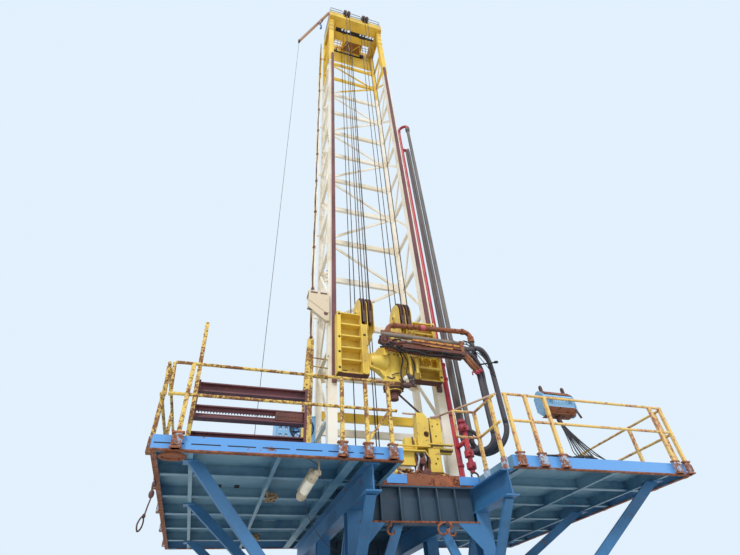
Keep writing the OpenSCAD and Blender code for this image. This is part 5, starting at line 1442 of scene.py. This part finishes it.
class RIG_OT_girder(bpy.types.Operator):
    """Add the rusty lip, hooks and gussets of the front girder"""
    bl_idname = "rig.girder"
    bl_label = "Front girder"

    def execute(self, context):
        lo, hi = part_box("front_frame")
        y = GIRDER_Y
        z = UNDER - 0.57
        lip = Shape()
        lip.box((lo.x, y - 0.135, z - 0.004), (hi.x, y - 0.1, z + 0.02))
        lip.piece("girder_rust_lip", "rusty", "rig", "rusty_steel")
        hooks = Shape()
        for x, radius, drop in ((-0.95, 0.06, 0.12), (-0.05, 0.08, 0.1), (0.12, 0.06, 0.14)):
            bend = arc((x, y - 0.15, z - drop), (radius, 0, 0), (0, 0, radius), 12, start=0.25, turns=0.75)
            hooks.tube([(bend[0].x, y - 0.13, z + 0.01), *bend], 0.016, 8)
        hooks.piece("girder_hooks", "rusty", "rig", "rusty_steel")
        gussets = Shape()
        for side in (-1, 1):
            x = MAST_X + side * 1.03
            gussets.plate([(x, y - 0.13, z + 0.01), (x, y - 0.13, z - 0.4),
                           (x - side * 0.4, y - 0.13, z + 0.01)], (0, 0.02, 0))
        gussets.piece("girder_gussets", "steel_blue", "rig", "sub_blue", bevel=0.004)
        return {"FINISHED"}


class RIG_OT_manifold(bpy.types.Operator):
    """Add the red valves, their ring and hose, and the unions of the standpipe and the mud hose"""
    bl_idname = "rig.manifold"
    bl_label = "Standpipe valves"

    def execute(self, context):
        lo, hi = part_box("manifold")
        x, y = (lo.x + hi.x) / 2, STAND.y - 0.48
        valves = Shape()
        for z, radius, dx in ((FLOOR + 0.36, 0.085, 0.0), (FLOOR + 0.62, 0.075, -0.02),
                         (FLOOR + 1.13, 0.1, -0.04)):
            body = [(0, 0.05), (0.02, radius * 0.85), (0.07, radius), (0.12, radius * 0.95),
                    (0.16, radius * 0.7), (0.2, 0.05)]
            valves.turned((x + dx, y, z - 0.07), (0, 0, 1), body, 24)
            valves.rod((x + dx, y - radius * 0.7, z), (x + dx, y - radius - 0.05, z), 0.03, 12)
        cap = [(0, 0.06), (0.02, 0.09), (0.07, 0.09), (0.1, 0.05)]
        valves.turned((x - 0.04, y, FLOOR + 1.24), (0, 0, 1), cap, 20)
        valves.piece("standpipe_valves", "valve_red", "rig", "pipe_red", bevel=0.002)
        ring = Shape()
        ring.tube(arc((x + 0.02, y - 0.02, FLOOR + 0.19), (0.075, 0, 0), (0, 0, 0.06), 20), 0.018, 8)
        ring.bar((x, y - 0.02, FLOOR + 0.24), (x, y - 0.02, FLOOR + 0.32), 0.03, 0.03)
        ring.piece("valve_ring", "brown", "rig", "dark_steel")
        jumper = [(x, y - 0.02, 5.19), (x + 0.12, y - 0.03, 5.17), (x + 0.26, y - 0.02, 5.08),
                  (x + 0.31, y, 4.95), (x + 0.25, y + 0.02, 4.82), (x + 0.13, y + 0.01, 4.76),
                  (x + 0.02, y, 4.76)]
        cable("valve_hose", jumper, 0.04, "hose", steps=5, sides=14)
        unions = Shape()
        for z in (FLOOR + 0.5, FLOOR + 1.6, FLOOR + 2.5, FLOOR + 2.88):
            collar = [(0, 0.083), (0.01, 0.1), (0.06, 0.1), (0.07, 0.083)]
            unions.turned((STAND.x, STAND.y, z), (0, 0, 1), collar, 24)
        unions.piece("standpipe_unions", "red", "rig", "pipe_red")
        top = Shape()
        union = [(0, 0.06), (0.01, 0.078), (0.12, 0.078), (0.14, 0.085), (0.2, 0.085), (0.22, 0.074)]
        top.turned((*MUD_A, MUD_TOP - 0.02), (0, 0, 1), union, 24)
        top.piece("mud_hose_union", "dark_steel", "rig", "dark_steel")
        return {"FINISHED"}


OPERATORS = (RIG_OT_stage, RIG_OT_paint_frame, RIG_OT_drill_lines, RIG_OT_hoses, RIG_OT_crown, RIG_OT_mast,
             RIG_OT_landing, RIG_OT_carriage, RIG_OT_top_drive, RIG_OT_service_arm, RIG_OT_floor_edge,
             RIG_OT_recess, RIG_OT_well_equipment, RIG_OT_junction_box, RIG_OT_cooler, RIG_OT_rack,
             RIG_OT_underside, RIG_OT_girder, RIG_OT_manifold)


class RIG_PT_panel(bpy.types.Panel):
    """Lists the drilling rig's pieces"""
    bl_label = "Drilling rig"
    bl_idname = "RIG_PT_panel"
    bl_space_type = "VIEW_3D"
    bl_region_type = "UI"
    bl_category = "Drilling rig"

    def draw(self, context):
        for group in (context.scene.rig_paint, context.scene.rig_sizes):
            for name in group.__annotations__:
                self.layout.prop(group, name)
        for operator in OPERATORS:
            self.layout.operator(operator.bl_idname)


CLASSES = (RigPaint, RigSizes, *OPERATORS, RIG_PT_panel)


def register():
    for cls in CLASSES:
        bpy.utils.register_class(cls)
    bpy.types.Scene.rig_paint = PointerProperty(type=RigPaint)
    bpy.types.Scene.rig_sizes = PointerProperty(type=RigSizes)


def unregister():
    del bpy.types.Scene.rig_sizes
    del bpy.types.Scene.rig_paint
    for cls in reversed(CLASSES):
        bpy.utils.unregister_class(cls)


def main():
    register()
    for operator in OPERATORS:
        getattr(bpy.ops.rig, operator.bl_idname.split(".")[1])()


if __name__ == "__main__":
    main()
